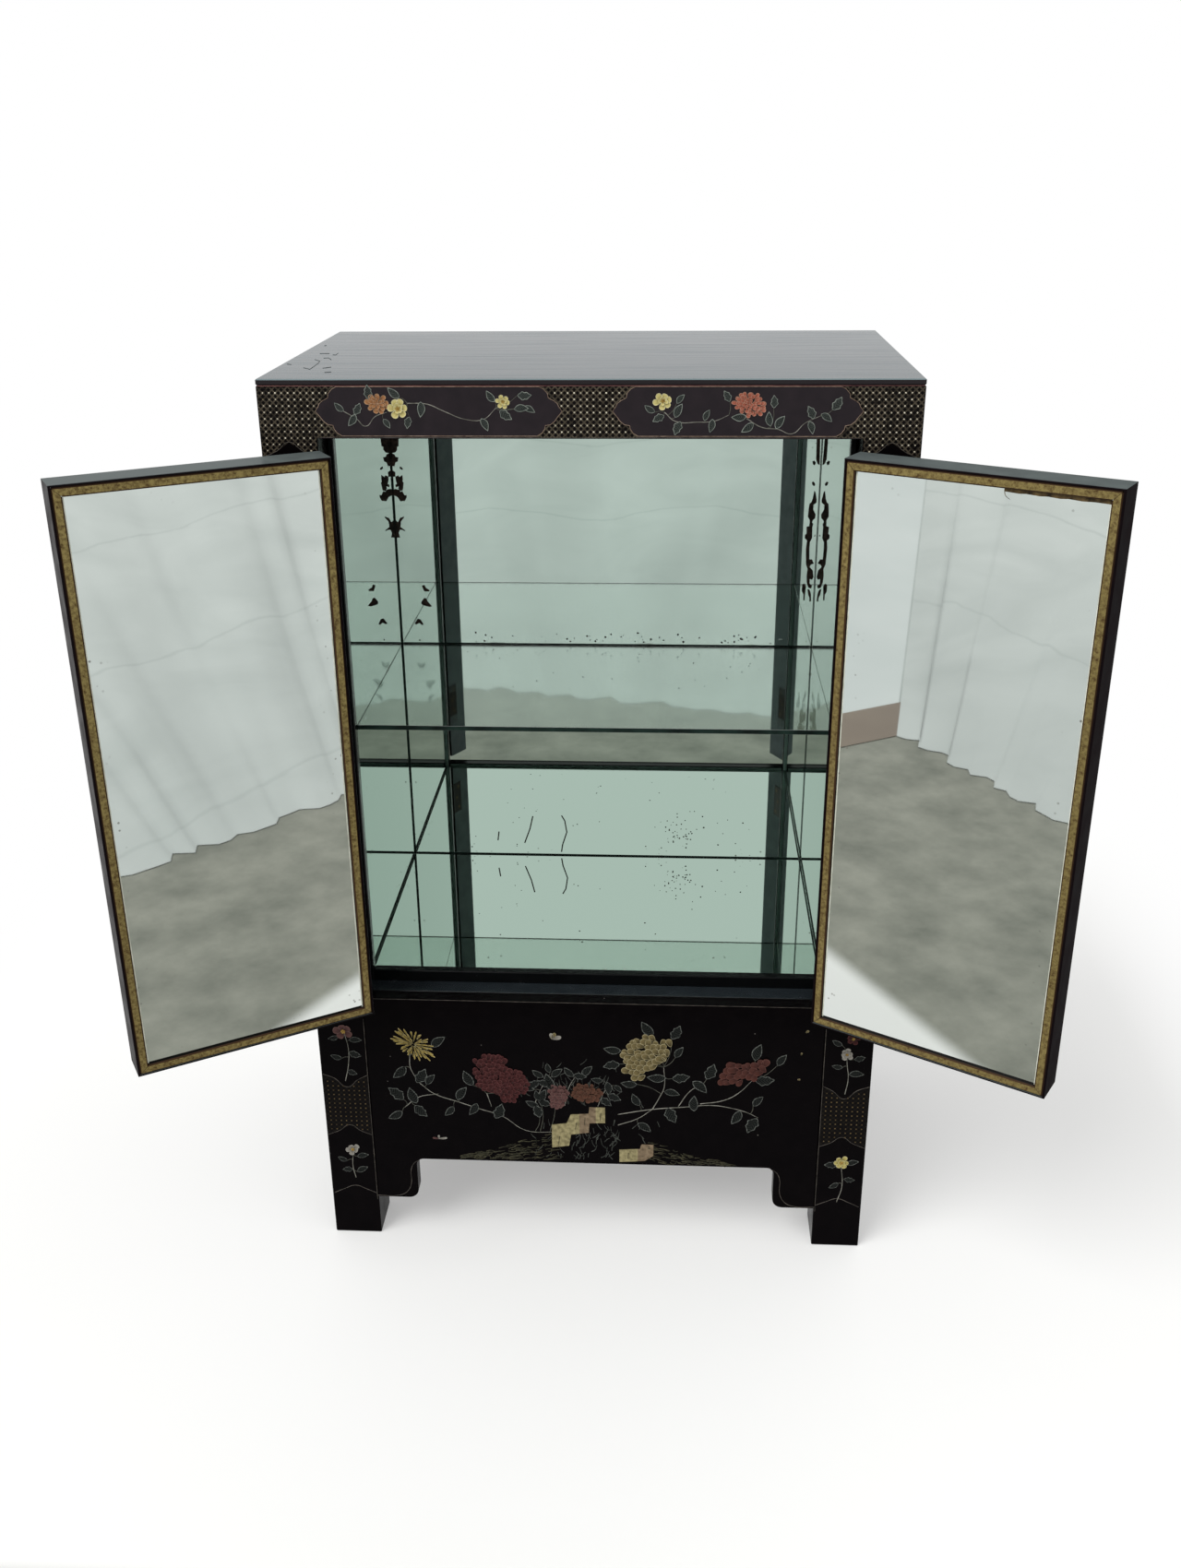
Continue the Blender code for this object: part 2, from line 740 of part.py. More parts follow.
def make_knobs():
    """A small turned knob on each door's outer face, near the meeting edge."""
    ball = dome(
        KNOB_RADIUS, KNOB_RADIUS, KNOB_REACH - KNOB_RADIUS, KNOB_ROUND, KNOB_ROUND_STEPS
    )
    profile = ball + [(KNOB_NECK, KNOB_FLARE), (KNOB_FOOT, 0.0), (0.0, 0.0)]
    for side, sign in SIDES.items():
        centre = (sign * (DOOR_MEETING_X + KNOB_INSET), -FIT, DOOR_BOTTOM + KNOB_HEIGHT)
        name = f"door_{side}_knob"
        turned(name, profile, BRASS, centre, FACING_FRONT, KNOB_SIDES, PIVOTS[side])


make_rails()
make_aprons()
make_posts()
make_top()
make_panels()
make_stops()
make_mirrors_and_shelf()
make_doors()
make_hinges()
make_knobs()
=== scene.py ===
"""Finishes, painted ornament and small fittings of the lacquered bar cabinet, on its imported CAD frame."""

import math
import random

import bpy
from mathutils import Matrix, Vector


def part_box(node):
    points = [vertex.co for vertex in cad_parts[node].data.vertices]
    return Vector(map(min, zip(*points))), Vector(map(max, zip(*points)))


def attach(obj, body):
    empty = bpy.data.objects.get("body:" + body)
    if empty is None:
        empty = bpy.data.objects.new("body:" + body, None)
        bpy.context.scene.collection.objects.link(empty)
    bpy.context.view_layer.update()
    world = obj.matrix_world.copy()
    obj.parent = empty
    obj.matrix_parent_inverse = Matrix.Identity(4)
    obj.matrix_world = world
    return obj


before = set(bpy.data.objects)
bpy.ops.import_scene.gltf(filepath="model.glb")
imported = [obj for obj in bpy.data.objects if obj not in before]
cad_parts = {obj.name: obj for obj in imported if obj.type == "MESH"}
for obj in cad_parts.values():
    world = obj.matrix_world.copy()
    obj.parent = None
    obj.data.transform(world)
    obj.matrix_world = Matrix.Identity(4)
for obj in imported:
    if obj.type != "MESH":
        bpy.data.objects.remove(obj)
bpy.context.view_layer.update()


# The case: posts, rails, aprons, panels and top of softwood, tenoned together, then covered with
# many thin coats of black lacquer rubbed flat. Thin places show brown, the top carries fine
# streaks from years of wiping, and small chips show as pale specks.
def linear(code):
    """An sRGB hex colour as the linear numbers that a shader socket takes."""
    parts = [int(code[start:start + 2], 16) / 255 for start in (0, 2, 4)]
    return [p / 12.92 if p <= 0.04045 else ((p + 0.055) / 1.055) ** 2.4 for p in parts] + [1.0]


def plug(made, inputs):
    """Sets a node's inputs. Each takes a value, an output, or a node for its first output in use."""
    for key, value in inputs.items():
        if isinstance(value, bpy.types.Node):
            value = next(output for output in value.outputs if output.enabled)
        if isinstance(value, bpy.types.NodeSocket):
            made.id_data.links.new(value, made.inputs[key])
        else:
            made.inputs[key].default_value = value


def add_node(tree, kind, inputs, **settings):
    """Adds one node with its settings and its inputs."""
    made = tree.nodes.new(kind)
    for name, value in settings.items():
        setattr(made, name, value)
    plug(made, inputs)
    return made


def begin_finish(name, roughness, metallic=0.0):
    """A new material with its node tree, its shader and the Object coordinates, which are metres."""
    made = bpy.data.materials.new(name)
    made.use_nodes = True
    tree = made.node_tree
    shader = tree.nodes["Principled BSDF"]
    plug(shader, {"Roughness": roughness, "Metallic": metallic})
    place = add_node(tree, "ShaderNodeTexCoord", {}).outputs["Object"]
    return made, tree, shader, place


def finish_nodes(finish, *names):
    """Puts a finish on CAD nodes, whose meshes stay as they are."""
    for name in names:
        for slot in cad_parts[name].material_slots:
            slot.material = finish


# Chips lie about 22 mm apart, in patches about 60 mm across, with nothing between the patches.
CHIP_CELLS, CHIP_PATCHES = 1 / 0.022, 1 / 0.060


def black_lacquer(name, smooth, rough, streaks, shine, tones, dust_and_sheen_coats=()):
    """Rubbed black lacquer between two roughnesses, its rubbing marks in cells per metre along x, y and
    z, its shine a specular level. Each coat gives two paler tones to the faces turned one way: mostly
    painted sheen and reflection, and on the top partly dust."""
    made, tree, shader, place = begin_finish(name, smooth)
    plug(shader, {"Specular IOR Level": shine})
    stretch = add_node(tree, "ShaderNodeMapping", {"Vector": place, "Scale": streaks})
    rubbing = add_node(tree, "ShaderNodeTexNoise", {"Vector": stretch, "Scale": 1.0, "Detail": 3.0})
    ground = add_node(
        tree, "ShaderNodeMix", {0: rubbing, 6: linear(tones[0]), 7: linear(tones[1])}, data_type="RGBA"
    )
    # Each coat pales the faces turned its way: painted sheen and reflection of the bright room.
    for deep, pale, toward in dust_and_sheen_coats:
        dust_and_sheen = add_node(
            tree, "ShaderNodeMix", {0: rubbing, 6: linear(deep), 7: linear(pale)}, data_type="RGBA"
        )
        facing = add_node(tree, "ShaderNodeTexCoord", {}).outputs["Normal"]
        turned = add_node(tree, "ShaderNodeVectorMath", {0: facing, 1: toward}, operation="DOT_PRODUCT")
        dust_and_sheen_mask = add_node(
            tree, "ShaderNodeMapRange", {"Value": turned, "From Min": 0.80, "From Max": 0.98}
        )
        ground = add_node(tree, "ShaderNodeMix", {0: dust_and_sheen_mask, 6: ground, 7: dust_and_sheen}, data_type="RGBA")
    grit = add_node(tree, "ShaderNodeTexVoronoi", {"Vector": place, "Scale": CHIP_CELLS})
    chip = add_node(
        tree, "ShaderNodeMapRange",
        {"Value": grit, "From Min": 0.022, "From Max": 0.040, "To Min": 1.0, "To Max": 0.0},
    )
    patch = add_node(tree, "ShaderNodeTexNoise", {"Vector": place, "Scale": CHIP_PATCHES, "Detail": 2.0})
    sparse = add_node(tree, "ShaderNodeMapRange", {"Value": patch, "From Min": 0.56, "From Max": 0.66})
    speck = add_node(tree, "ShaderNodeMath", {0: chip, 1: sparse}, operation="MULTIPLY")
    colour = add_node(
        tree, "ShaderNodeMix", {0: speck, 6: ground, 7: linear("8f8a84")}, data_type="RGBA"
    )
    plug(shader, {"Base Color": colour})
    gloss = add_node(
        tree, "ShaderNodeMapRange",
        {"Value": rubbing, "From Min": 0.3, "From Max": 0.7, "To Min": smooth, "To Max": rough},
    )
    plug(shader, {"Roughness": gloss})
    relief = add_node(tree, "ShaderNodeBump", {"Height": rubbing, "Strength": 0.05, "Distance": 0.0006})
    plug(shader, {"Normal": relief})
    return made


EVEN, WIPED = (45.0, 45.0, 45.0), (5.0, 150.0, 5.0)
UP, INSIDE, FRONT_EDGE = (0.0, 0.0, 1.0), (0.0, 1.0, 0.0), (0.0, -0.707, 0.707)
SIDES = (("left", -1), ("right", 1))
OPEN = {"left": math.radians(-149.5), "right": math.radians(149.5)}
# The left door's lacquer gets more shine than the right's, so its edges look lit and the right door's look
# shaded: painted light.
EDGE_SHINE = {"left": 0.014, "right": 0.001}
case_lacquer = black_lacquer(
    "black lacquer on the case", 0.12, 0.24, EVEN, 0.12, ("0a080a", "1a1214")
)
frieze_lacquer = black_lacquer(
    "black lacquer on the frieze", 0.12, 0.24, EVEN, 0.12, ("181418", "2a2226")
)
front_lacquer = black_lacquer(
    "black lacquer on the front", 0.14, 0.26, EVEN, 0.02, ("040304", "0a0708")
)
# Each door's up-facing faces and hinge edge get paler grey coats: painted sheen and reflection.
for side, sign in SIDES:
    hinge_edge = Matrix.Rotation(OPEN[side], 3, "Z") @ Vector((sign, 0.0, 0.0))
    door_lacquer = black_lacquer(
        f"black lacquer on the {side} door", 0.30, 0.42, EVEN, EDGE_SHINE[side], ("0a080a", "1a1214"),
        [("454b4b", "616968", UP), ("5f6668", "7f8688", hinge_edge)],
    )
    finish_nodes(door_lacquer, f"door_{side}_panel")
# The ledge's top gets a paler slate coat: a painted reflection of the room.
ledge_lacquer = black_lacquer(
    "black lacquer on the ledge", 0.14, 0.28, EVEN, 0.45, ("0a0a0b", "141416"),
    [("1a1f22", "2a3034", UP)],
)
# The backs of the door stops, facing into the cabinet, get a pale grey coat: painted sheen, seen in the
# back mirror.
stop_lacquer = black_lacquer(
    "black lacquer with painted sheen on the door stops", 0.14, 0.28, EVEN, 0.30, ("08090a", "121314"),
    [("94a1a0", "b4c0bf", INSIDE)],
)
# The back of the bar, facing into the cabinet, gets a pale grey coat: painted sheen, seen in the mirrors.
bar_lacquer = black_lacquer(
    "black lacquer with painted sheen on the bar", 0.14, 0.28, EVEN, 0.08, ("050607", "0b0c0d"),
    [("66716f", "86928f", INSIDE)],
)
# The top's up-facing coat is bluish grey, partly dust and partly a painted reflection of the room; its
# front edge gets a pale coat as a painted highlight.
top_lacquer = black_lacquer(
    "wiped black lacquer on the top", 0.06, 0.22, WIPED, 0.075, ("1c191b", "2c2729"),
    [("081013", "2a434b", UP), ("4f5d60", "7c8a8d", FRONT_EDGE)],
)
worn_lacquer = black_lacquer(
    "black satin paint on the back", 0.42, 0.60, (12.0, 60.0, 160.0), 0.25, ("0d0b0b", "1a1413")
)
finish_nodes(
    case_lacquer,
    "post_back_left", "post_back_right", "top_rail_back", "top_rail_left", "top_rail_right",
    "apron_left", "apron_right", "side_panel_left", "side_panel_right", "ceiling_board",
)
finish_nodes(frieze_lacquer, "frieze_rail")
finish_nodes(front_lacquer, "post_front_left", "post_front_right", "apron_front")
finish_nodes(ledge_lacquer, "sill_rail")
finish_nodes(stop_lacquer, "door_stop_left", "door_stop_right")
finish_nodes(bar_lacquer, "door_stop_bottom")
finish_nodes(top_lacquer, "top_panel")
finish_nodes(worn_lacquer, "back_panel", "apron_back")


# The linings and the floor board: thin softwood boards that carry the mirrors, left bare because
# nothing of them shows but an edge. Planed, with a fine straight grain along the board.
def bare_softwood():
    """Planed softwood with grain lines about 3 mm apart that run along y."""
    made, tree, shader, place = begin_finish("bare planed softwood", 0.62)
    stretch = add_node(tree, "ShaderNodeMapping", {"Vector": place, "Scale": (330.0, 9.0, 330.0)})
    grain = add_node(tree, "ShaderNodeTexNoise", {"Vector": stretch, "Scale": 1.0, "Detail": 5.0})
    colour = add_node(
        tree, "ShaderNodeMix", {0: grain, 6: linear("6b4a2c"), 7: linear("9a7448")}, data_type="RGBA"
    )
    plug(shader, {"Base Color": colour})
    relief = add_node(tree, "ShaderNodeBump", {"Height": grain, "Strength": 0.2, "Distance": 0.0003})
    plug(shader, {"Normal": relief})
    return made


finish_nodes(bare_softwood(), "lining_left", "lining_right", "floor_board")


# The mirrors inside: 3 mm float glass, silvered on the back, in panes above and below the shelf and
# one on the floor. The silver has gone brown and black in blotches along the edges and corners.
# Spots about 11 mm apart, ragged edges about 9 mm long, in bad patches about 85 mm across.
SPOT_CELLS, RAGGED_CELLS, BAD_PATCHES = 1 / 0.011, 1 / 0.009, 1 / 0.085
EDGE_LOSS, DOOR_EDGE_LOSS = 0.007, 0.012
SIDEWAYS = math.radians(90)


def mirror_glass(name, tint, node, turn, spread):
    """Silvered glass for one pane; turn brings the pane's own width to x and its height to z. The
    silver is lost up to a spread in metres from the edge."""
    low, high = (Vector(corner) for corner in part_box(node))
    middle = (low + high) / 2
    size = high - low
    across = math.hypot(size.x, size.y)
    half = (across / 2, 1.0, size.z / 2)
    if turn[0]:
        half = (size.x / 2, 1.0, size.y / 2)
    made, tree, shader, place = begin_finish(name, 0.015, 1.0)
    pane = add_node(
        tree, "ShaderNodeMapping", {"Vector": place, "Location": middle, "Rotation": turn},
        vector_type="TEXTURE",
    )
    reach = add_node(tree, "ShaderNodeVectorMath", {0: pane}, operation="ABSOLUTE")
    room = add_node(tree, "ShaderNodeVectorMath", {0: half, 1: reach}, operation="SUBTRACT")
    split = add_node(tree, "ShaderNodeSeparateXYZ", {0: room})
    edge = add_node(
        tree, "ShaderNodeMath", {0: split.outputs["X"], 1: split.outputs["Z"]}, operation="MINIMUM"
    )
    patch = add_node(tree, "ShaderNodeTexNoise", {"Vector": place, "Scale": BAD_PATCHES, "Detail": 2.0})
    bad = add_node(
        tree, "ShaderNodeMapRange",
        {"Value": patch, "From Min": 0.46, "From Max": 0.66, "To Max": spread},
    )
    crumb = add_node(
        tree, "ShaderNodeTexNoise",
        {"Vector": place, "Scale": RAGGED_CELLS, "Detail": 6.0, "Roughness": 0.7},
    )
    eaten = add_node(tree, "ShaderNodeMath", {0: bad, 1: crumb}, operation="MULTIPLY")
    depth = add_node(tree, "ShaderNodeMath", {0: eaten, 1: edge}, operation="SUBTRACT")
    loss = add_node(tree, "ShaderNodeMapRange", {"Value": depth, "From Min": 0.0, "From Max": 0.004})
    spot = add_node(tree, "ShaderNodeTexVoronoi", {"Vector": place, "Scale": SPOT_CELLS})
    dot = add_node(
        tree, "ShaderNodeMapRange",
        {"Value": spot, "From Min": 0.10, "From Max": 0.16, "To Min": 1.0, "To Max": 0.0},
    )
    near = add_node(
        tree, "ShaderNodeMapRange",
        {"Value": edge, "From Min": 0.004, "From Max": 3 * spread, "To Min": 1.0, "To Max": 0.0},
    )
    gate = add_node(tree, "ShaderNodeMapRange", {"Value": patch, "From Min": 0.52, "From Max": 0.60})
    dotted = add_node(tree, "ShaderNodeMath", {0: dot, 1: near}, operation="MULTIPLY")
    dotted = add_node(tree, "ShaderNodeMath", {0: dotted, 1: gate}, operation="MULTIPLY")
    gone = add_node(tree, "ShaderNodeMath", {0: dotted, 1: loss}, operation="MAXIMUM")
    colour = add_node(
        tree, "ShaderNodeMix", {0: gone, 6: linear(tint), 7: linear("4a3f33")}, data_type="RGBA"
    )
    plug(shader, {"Base Color": colour})
    dull = add_node(tree, "ShaderNodeMapRange", {"Value": gone, "To Min": 0.015, "To Max": 0.45})
    plug(shader, {"Roughness": dull})
    return made


for node, turn in {
    "back_mirror_upper": (0.0, 0.0, 0.0),
    "back_mirror_lower": (0.0, 0.0, 0.0),
    "side_mirror_left_upper": (0.0, 0.0, SIDEWAYS),
    "side_mirror_left_lower": (0.0, 0.0, SIDEWAYS),
    "side_mirror_right_upper": (0.0, 0.0, SIDEWAYS),
    "side_mirror_right_lower": (0.0, 0.0, SIDEWAYS),
    "floor_mirror": (SIDEWAYS, 0.0, 0.0),
}.items():
    tint = "dbe7e0" if node == "floor_mirror" else "c0cdc6"
    finish_nodes(mirror_glass(f"silvered glass, {node}", tint, node, turn, EDGE_LOSS), node)


# The shelf: one sheet of clear float glass with ground edges, set into the joint between the upper
# and lower side mirrors. Seen through its edge the glass is a deep bottle green.
def float_glass():
    """Clear float glass whose faces are clear and whose ground edges look dark green."""
    made, tree, shader, place = begin_finish("clear float glass", 0.02)
    plug(shader, {"IOR": 1.5})
    facing = add_node(tree, "ShaderNodeNewGeometry", {}).outputs["Normal"]
    split = add_node(tree, "ShaderNodeSeparateXYZ", {0: facing})
    level = add_node(tree, "ShaderNodeMath", {0: split.outputs["Z"]}, operation="ABSOLUTE")
    clear = add_node(tree, "ShaderNodeMapRange", {"Value": level, "From Min": 0.4, "From Max": 0.9})
    wave = add_node(tree, "ShaderNodeTexNoise", {"Vector": place, "Scale": 1 / 0.020, "Detail": 2.0})
    edge = add_node(
        tree, "ShaderNodeMix", {0: wave, 6: linear("070d0b"), 7: linear("14241e")}, data_type="RGBA"
    )
    colour = add_node(tree, "ShaderNodeMix", {0: clear, 6: edge, 7: linear("eef6f2")}, data_type="RGBA")
    plug(shader, {"Base Color": colour, "Transmission Weight": clear})
    return made


finish_nodes(float_glass(), "glass_shelf")


# The doors: thick lacquered leaves with a mirror let into the inside of each, held by four mitred
# strips of gilt wood. The gold has rubbed thin to olive over a red-brown ground.
BODY = {"left": "left_door", "right": "right_door"}


def worn_gilding(side, inward):
    """Old gilding: dull olive gold on the face that looks inward, worn to its brown ground in flecks
    about 4 mm long. The slanted edges of the strip are brown, and its sides are near black as painted
    shade."""
    made, tree, shader, place = begin_finish(f"worn gilding on wood, {side} door", 0.42)
    plug(shader, {"Specular IOR Level": 0.02})
    rub = add_node(
        tree, "ShaderNodeTexNoise", {"Vector": place, "Scale": 1 / 0.004, "Detail": 5.0, "Roughness": 0.65}
    )
    worn = add_node(tree, "ShaderNodeMapRange", {"Value": rub, "From Min": 0.40, "From Max": 0.68})
    age = add_node(tree, "ShaderNodeTexNoise", {"Vector": place, "Scale": 1 / 0.045, "Detail": 3.0})
    gold = add_node(
        tree, "ShaderNodeMix", {0: age, 6: linear("7e6f45"), 7: linear("9c8b59")}, data_type="RGBA"
    )
    colour = add_node(tree, "ShaderNodeMix", {0: worn, 6: gold, 7: linear("4a3823")}, data_type="RGBA")
    facing = add_node(tree, "ShaderNodeTexCoord", {}).outputs["Normal"]
    turned = add_node(tree, "ShaderNodeVectorMath", {0: facing, 1: inward}, operation="DOT_PRODUCT")
    open_face = add_node(
        tree, "ShaderNodeMapRange", {"Value": turned, "From Min": 0.80, "From Max": 0.92}
    )
    slanted = add_node(tree, "ShaderNodeMapRange", {"Value": turned, "From Min": 0.35, "From Max": 0.60})
    # Faces turned away from the glass are near black: painted shade on the strip's sides. The slanted edges
    # show the brown ground.
    edge = add_node(
        tree, "ShaderNodeMix", {0: slanted, 6: linear("0c0907"), 7: linear("3d2c1f")}, data_type="RGBA"
    )
    colour = add_node(tree, "ShaderNodeMix", {0: open_face, 6: edge, 7: colour}, data_type="RGBA")
    plug(shader, {"Base Color": colour})
    leaf = add_node(tree, "ShaderNodeMapRange", {"Value": worn, "To Min": 0.75, "To Max": 0.1})
    metal = add_node(tree, "ShaderNodeMath", {0: leaf, 1: open_face}, operation="MULTIPLY")
    plug(shader, {"Metallic": metal})
    relief = add_node(tree, "ShaderNodeBump", {"Height": rub, "Strength": 0.15, "Distance": 0.0003})
    plug(shader, {"Normal": relief})
    return made


for side in ("left", "right"):
    inward = Matrix.Rotation(OPEN[side], 3, "Z") @ Vector((0.0, 1.0, 0.0))
    gilding = worn_gilding(side, inward)
    pane = f"door_{side}_mirror"
    silvered = mirror_glass(
        f"silvered glass, {pane}", "dce0dd", pane, (0.0, 0.0, OPEN[side]), DOOR_EDGE_LOSS
    )
    finish_nodes(silvered, pane)
    strips = [f"door_{side}_bead_{edge}" for edge in ("top", "bottom", "hinge", "meeting")]
    finish_nodes(gilding, *strips)


# The hinges and knobs: small butt hinges folded from brass sheet, and turned brass pulls on the
# outer faces. The brass has gone brown in the hollows and is bright only where hands touch it.
def aged_brass(name, bright, dark):
    """Brass with brown tarnish in patches about 8 mm across."""
    made, tree, shader, place = begin_finish(name, 0.30, 1.0)
    tarnish = add_node(tree, "ShaderNodeTexNoise", {"Vector": place, "Scale": 1 / 0.008, "Detail": 5.0})
    colour = add_node(
        tree, "ShaderNodeMix", {0: tarnish, 6: linear(bright), 7: linear(dark)}, data_type="RGBA"
    )
    plug(shader, {"Base Color": colour})
    dull = add_node(tree, "ShaderNodeMapRange", {"Value": tarnish, "To Min": 0.18, "To Max": 0.55})
    plug(shader, {"Roughness": dull})
    return made


knob_brass = aged_brass("aged brass of the knobs", "c39a4e", "5e4421")
hinge_brass = aged_brass("blackened brass of the hinges", "201d19", "0f0d0b")
for side in ("left", "right"):
    finish_nodes(knob_brass, f"door_{side}_knob")
    for level in ("lower", "upper"):
        plates = [f"hinge_{side}_{level}_{part}" for part in ("case_leaf", "door_leaf", "pin")]
        finish_nodes(hinge_brass, *plates)


# The diaper ground: on the frieze ends and in bands on the posts the lacquer carries a fine lattice
# drawn in olive gold over black, with a raised cream dot at each crossing, 7.3 mm apart.
MM = 0.001
DIAPER_PITCH = 7.3
LATTICE_LINE, LATTICE_BLUR = 0.13, 0.08
GROUND_THICK = 0.0004
DOT_RADIUS, DOT_RISE, DOT_TAPER, DOT_MARGIN = 1.15, 0.0006, 0.72, 1.6
CROWN_INSET, CROWN_RISE = 0.0003, 0.0002
UPRIGHT = Matrix.Rotation(math.radians(90), 4, "X")
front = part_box("post_front_left")[0][1]
on_front = Matrix.Translation((0.0, front, 0.0)) @ UPRIGHT


def close_mesh():
    """Merges the active piece's doubled points and turns every face outwards."""
    bpy.ops.object.mode_set(mode="EDIT")
    bpy.ops.mesh.select_all(action="SELECT")
    bpy.ops.mesh.remove_doubles(threshold=1e-6)
    bpy.ops.mesh.normals_make_consistent(inside=False)
    bpy.ops.object.mode_set(mode="OBJECT")


def begin_curve(name, dimensions):
    """An empty curve object, ready for its splines."""
    bpy.ops.object.select_all(action="DESELECT")
    bpy.ops.curve.primitive_bezier_curve_add()
    made = bpy.context.object
    made.name = name
    made.data.dimensions = dimensions
    made.data.splines.clear()
    return made


def lay_on(face):
    """Makes the active curve a mesh and applies its place on a face, so it sits at the origin."""
    bpy.ops.object.convert(target="MESH")
    piece = bpy.context.object
    close_mesh()
    piece.matrix_world = face
    bpy.ops.object.transform_apply()
    return piece


def cut_sheet(name, outlines, thickness, face, finish):
    """Thin sheets cut to outlines in millimetres, one inside another being a hole, half in a face."""
    made = begin_curve(name, "2D")
    made.data.fill_mode = "BOTH"
    made.data.extrude = thickness / 2
    for outline in outlines:
        line = made.data.splines.new("POLY")
        line.points.add(len(outline) - 1)
        for point, (across, up) in zip(line.points, outline):
            point.co = (across * MM, up * MM, 0.0, 1.0)
        line.use_cyclic_u = True
    made = lay_on(face)
    made.data.materials.append(finish)
    return made


def inside(point, outline):
    """Whether a point lies within an outline."""
    held = False
    for (x0, y0), (x1, y1) in zip(outline, outline[1:] + outline[:1]):
        if (y0 > point[1]) != (y1 > point[1]):
            if point[0] < x0 + (point[1] - y0) * (x1 - x0) / (y1 - y0):
                held = not held
    return held


def diaper_ground(name, lattice_tone):
    """Black lacquer with an olive lattice on the diagonals between the dots."""
    made, tree, shader, place = begin_finish(name, 0.3)
    plug(shader, {"Specular IOR Level": 0.04})
    split = add_node(tree, "ShaderNodeSeparateXYZ", {0: place})
    lines = []
    for operation in ("ADD", "SUBTRACT"):
        slant = add_node(
            tree, "ShaderNodeMath", {0: split.outputs["X"], 1: split.outputs["Z"]}, operation=operation
        )
        count = add_node(
            tree, "ShaderNodeMath", {0: slant, 1: 1 / (DIAPER_PITCH * MM)}, operation="MULTIPLY"
        )
        away = add_node(tree, "ShaderNodeMath", {0: count, 1: 0.5}, operation="PINGPONG")
        lines.append(add_node(
            tree, "ShaderNodeMapRange",
            {"Value": away, "From Min": LATTICE_LINE, "From Max": LATTICE_LINE + LATTICE_BLUR,
             "To Min": 1.0, "To Max": 0.0},
        ))
    lattice = add_node(tree, "ShaderNodeMath", {0: lines[0], 1: lines[1]}, operation="MAXIMUM")
    wear = add_node(tree, "ShaderNodeTexNoise", {"Vector": place, "Scale": 1 / 0.009, "Detail": 4.0})
    left = add_node(tree, "ShaderNodeMapRange", {"Value": wear, "From Min": 0.25, "From Max": 0.6})
    drawn = add_node(tree, "ShaderNodeMath", {0: lattice, 1: left}, operation="MULTIPLY")
    colour = add_node(
        tree, "ShaderNodeMix", {0: drawn, 6: linear("080607"), 7: linear(lattice_tone)}, data_type="RGBA"
    )
    plug(shader, {"Base Color": colour})
    relief = add_node(tree, "ShaderNodeBump", {"Height": drawn, "Strength": 0.4, "Distance": 0.0003})
    plug(shader, {"Normal": relief})
    return made


def paint(name, deep, pale, grain):
    """Lacquer paint that varies from a deep to a pale tone in patches of one grain size."""
    made, tree, shader, place = begin_finish(name, 0.45)
    plug(shader, {"Specular IOR Level": 0.1})
    tone = add_node(tree, "ShaderNodeTexNoise", {"Vector": place, "Scale": 1 / grain, "Detail": 3.0})
    spread = add_node(tree, "ShaderNodeMapRange", {"Value": tone, "From Min": 0.32, "From Max": 0.68})
    colour = add_node(
        tree, "ShaderNodeMix", {0: spread, 6: linear(deep), 7: linear(pale)}, data_type="RGBA"
    )
    plug(shader, {"Base Color": colour})
    relief = add_node(tree, "ShaderNodeBump", {"Height": tone, "Strength": 0.2, "Distance": 0.0003})
    plug(shader, {"Normal": relief})
    return made


def drawn_lines(name, paths, width, face, finish, closed=False, smooth=True, taper=1.0):
    """Raised painted lines along paths in millimetres, as rounded beads half sunk into a face."""
    made = begin_curve(name, "3D")
    made.data.bevel_depth = width * MM / 2
    made.data.bevel_resolution = 1
    made.data.resolution_u = 5
    made.data.use_fill_caps = True
    for path in paths:
        line = made.data.splines.new("BEZIER")
        line.bezier_points.add(len(path) - 1)
        for number, (point, (across, up)) in enumerate(zip(line.bezier_points, path)):
            point.co = (across * MM, up * MM, 0.0)
            point.handle_left_type = point.handle_right_type = "AUTO" if smooth else "VECTOR"
            point.radius = 1.0 + (taper - 1.0) * number / (len(path) - 1)
        line.use_cyclic_u = closed
    made = lay_on(face)
    made.data.materials.append(finish)
    return made


def join_pieces(name, pieces, body):
    """Joins pieces into one object that sits at the origin and rides on a body."""
    bpy.ops.object.select_all(action="DESELECT")
    for piece in pieces:
        piece.select_set(True)
    bpy.context.view_layer.objects.active = pieces[0]
    bpy.ops.object.join()
    made = bpy.context.object
    bpy.ops.object.transform_apply()
    made.name = name
    made.data.name = name
    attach(made, body)
    return made


FRIEZE_TOP, FRIEZE_FOOT, FRIEZE_MIDDLE = 1212.0, 1154.0, 1184.0
CARTOUCHE_END = [
    (26, 27.5), (21, 25), (16.5, 20), (15.5, 15), (9.5, 12), (5.5, 9), (3.5, 4.8), (0, 0),
    (5, -6), (8.5, -11), (13.5, -15), (19.5, -16), (20.3, -20), (23.5, -24.5), (29, -28),
]
CARTOUCHES = {"left": (-313, -28.6), "right": (28.8, 312)}


def cartouche_end(tip, inward):
    """One shaped end of a cartouche, from its top corner to its bottom corner."""
    return [(tip + inward * across, FRIEZE_MIDDLE + up) for across, up in CARTOUCHE_END]


ends = {
    side: (cartouche_end(left, 1), cartouche_end(right, -1)) for side, (left, right) in CARTOUCHES.items()
}
top_band = [
    (-314, FRIEZE_FOOT), (-314, 1131), (-332, 1139), (-346.5, 1149), (-361, 1139), (-379, 1131),
    (-379, FRIEZE_TOP),
]
foot_band = [
    (-379, 275), (-362, 268), (-345, 254), (-330, 266), (-314.5, 275), (-314.5, 173), (-331, 180),
    (-346, 190), (-361, 180), (-379, 172),
]


def flipped(line):
    """The same points on the other side of the middle."""
    return [(-x, z) for x, z in line]


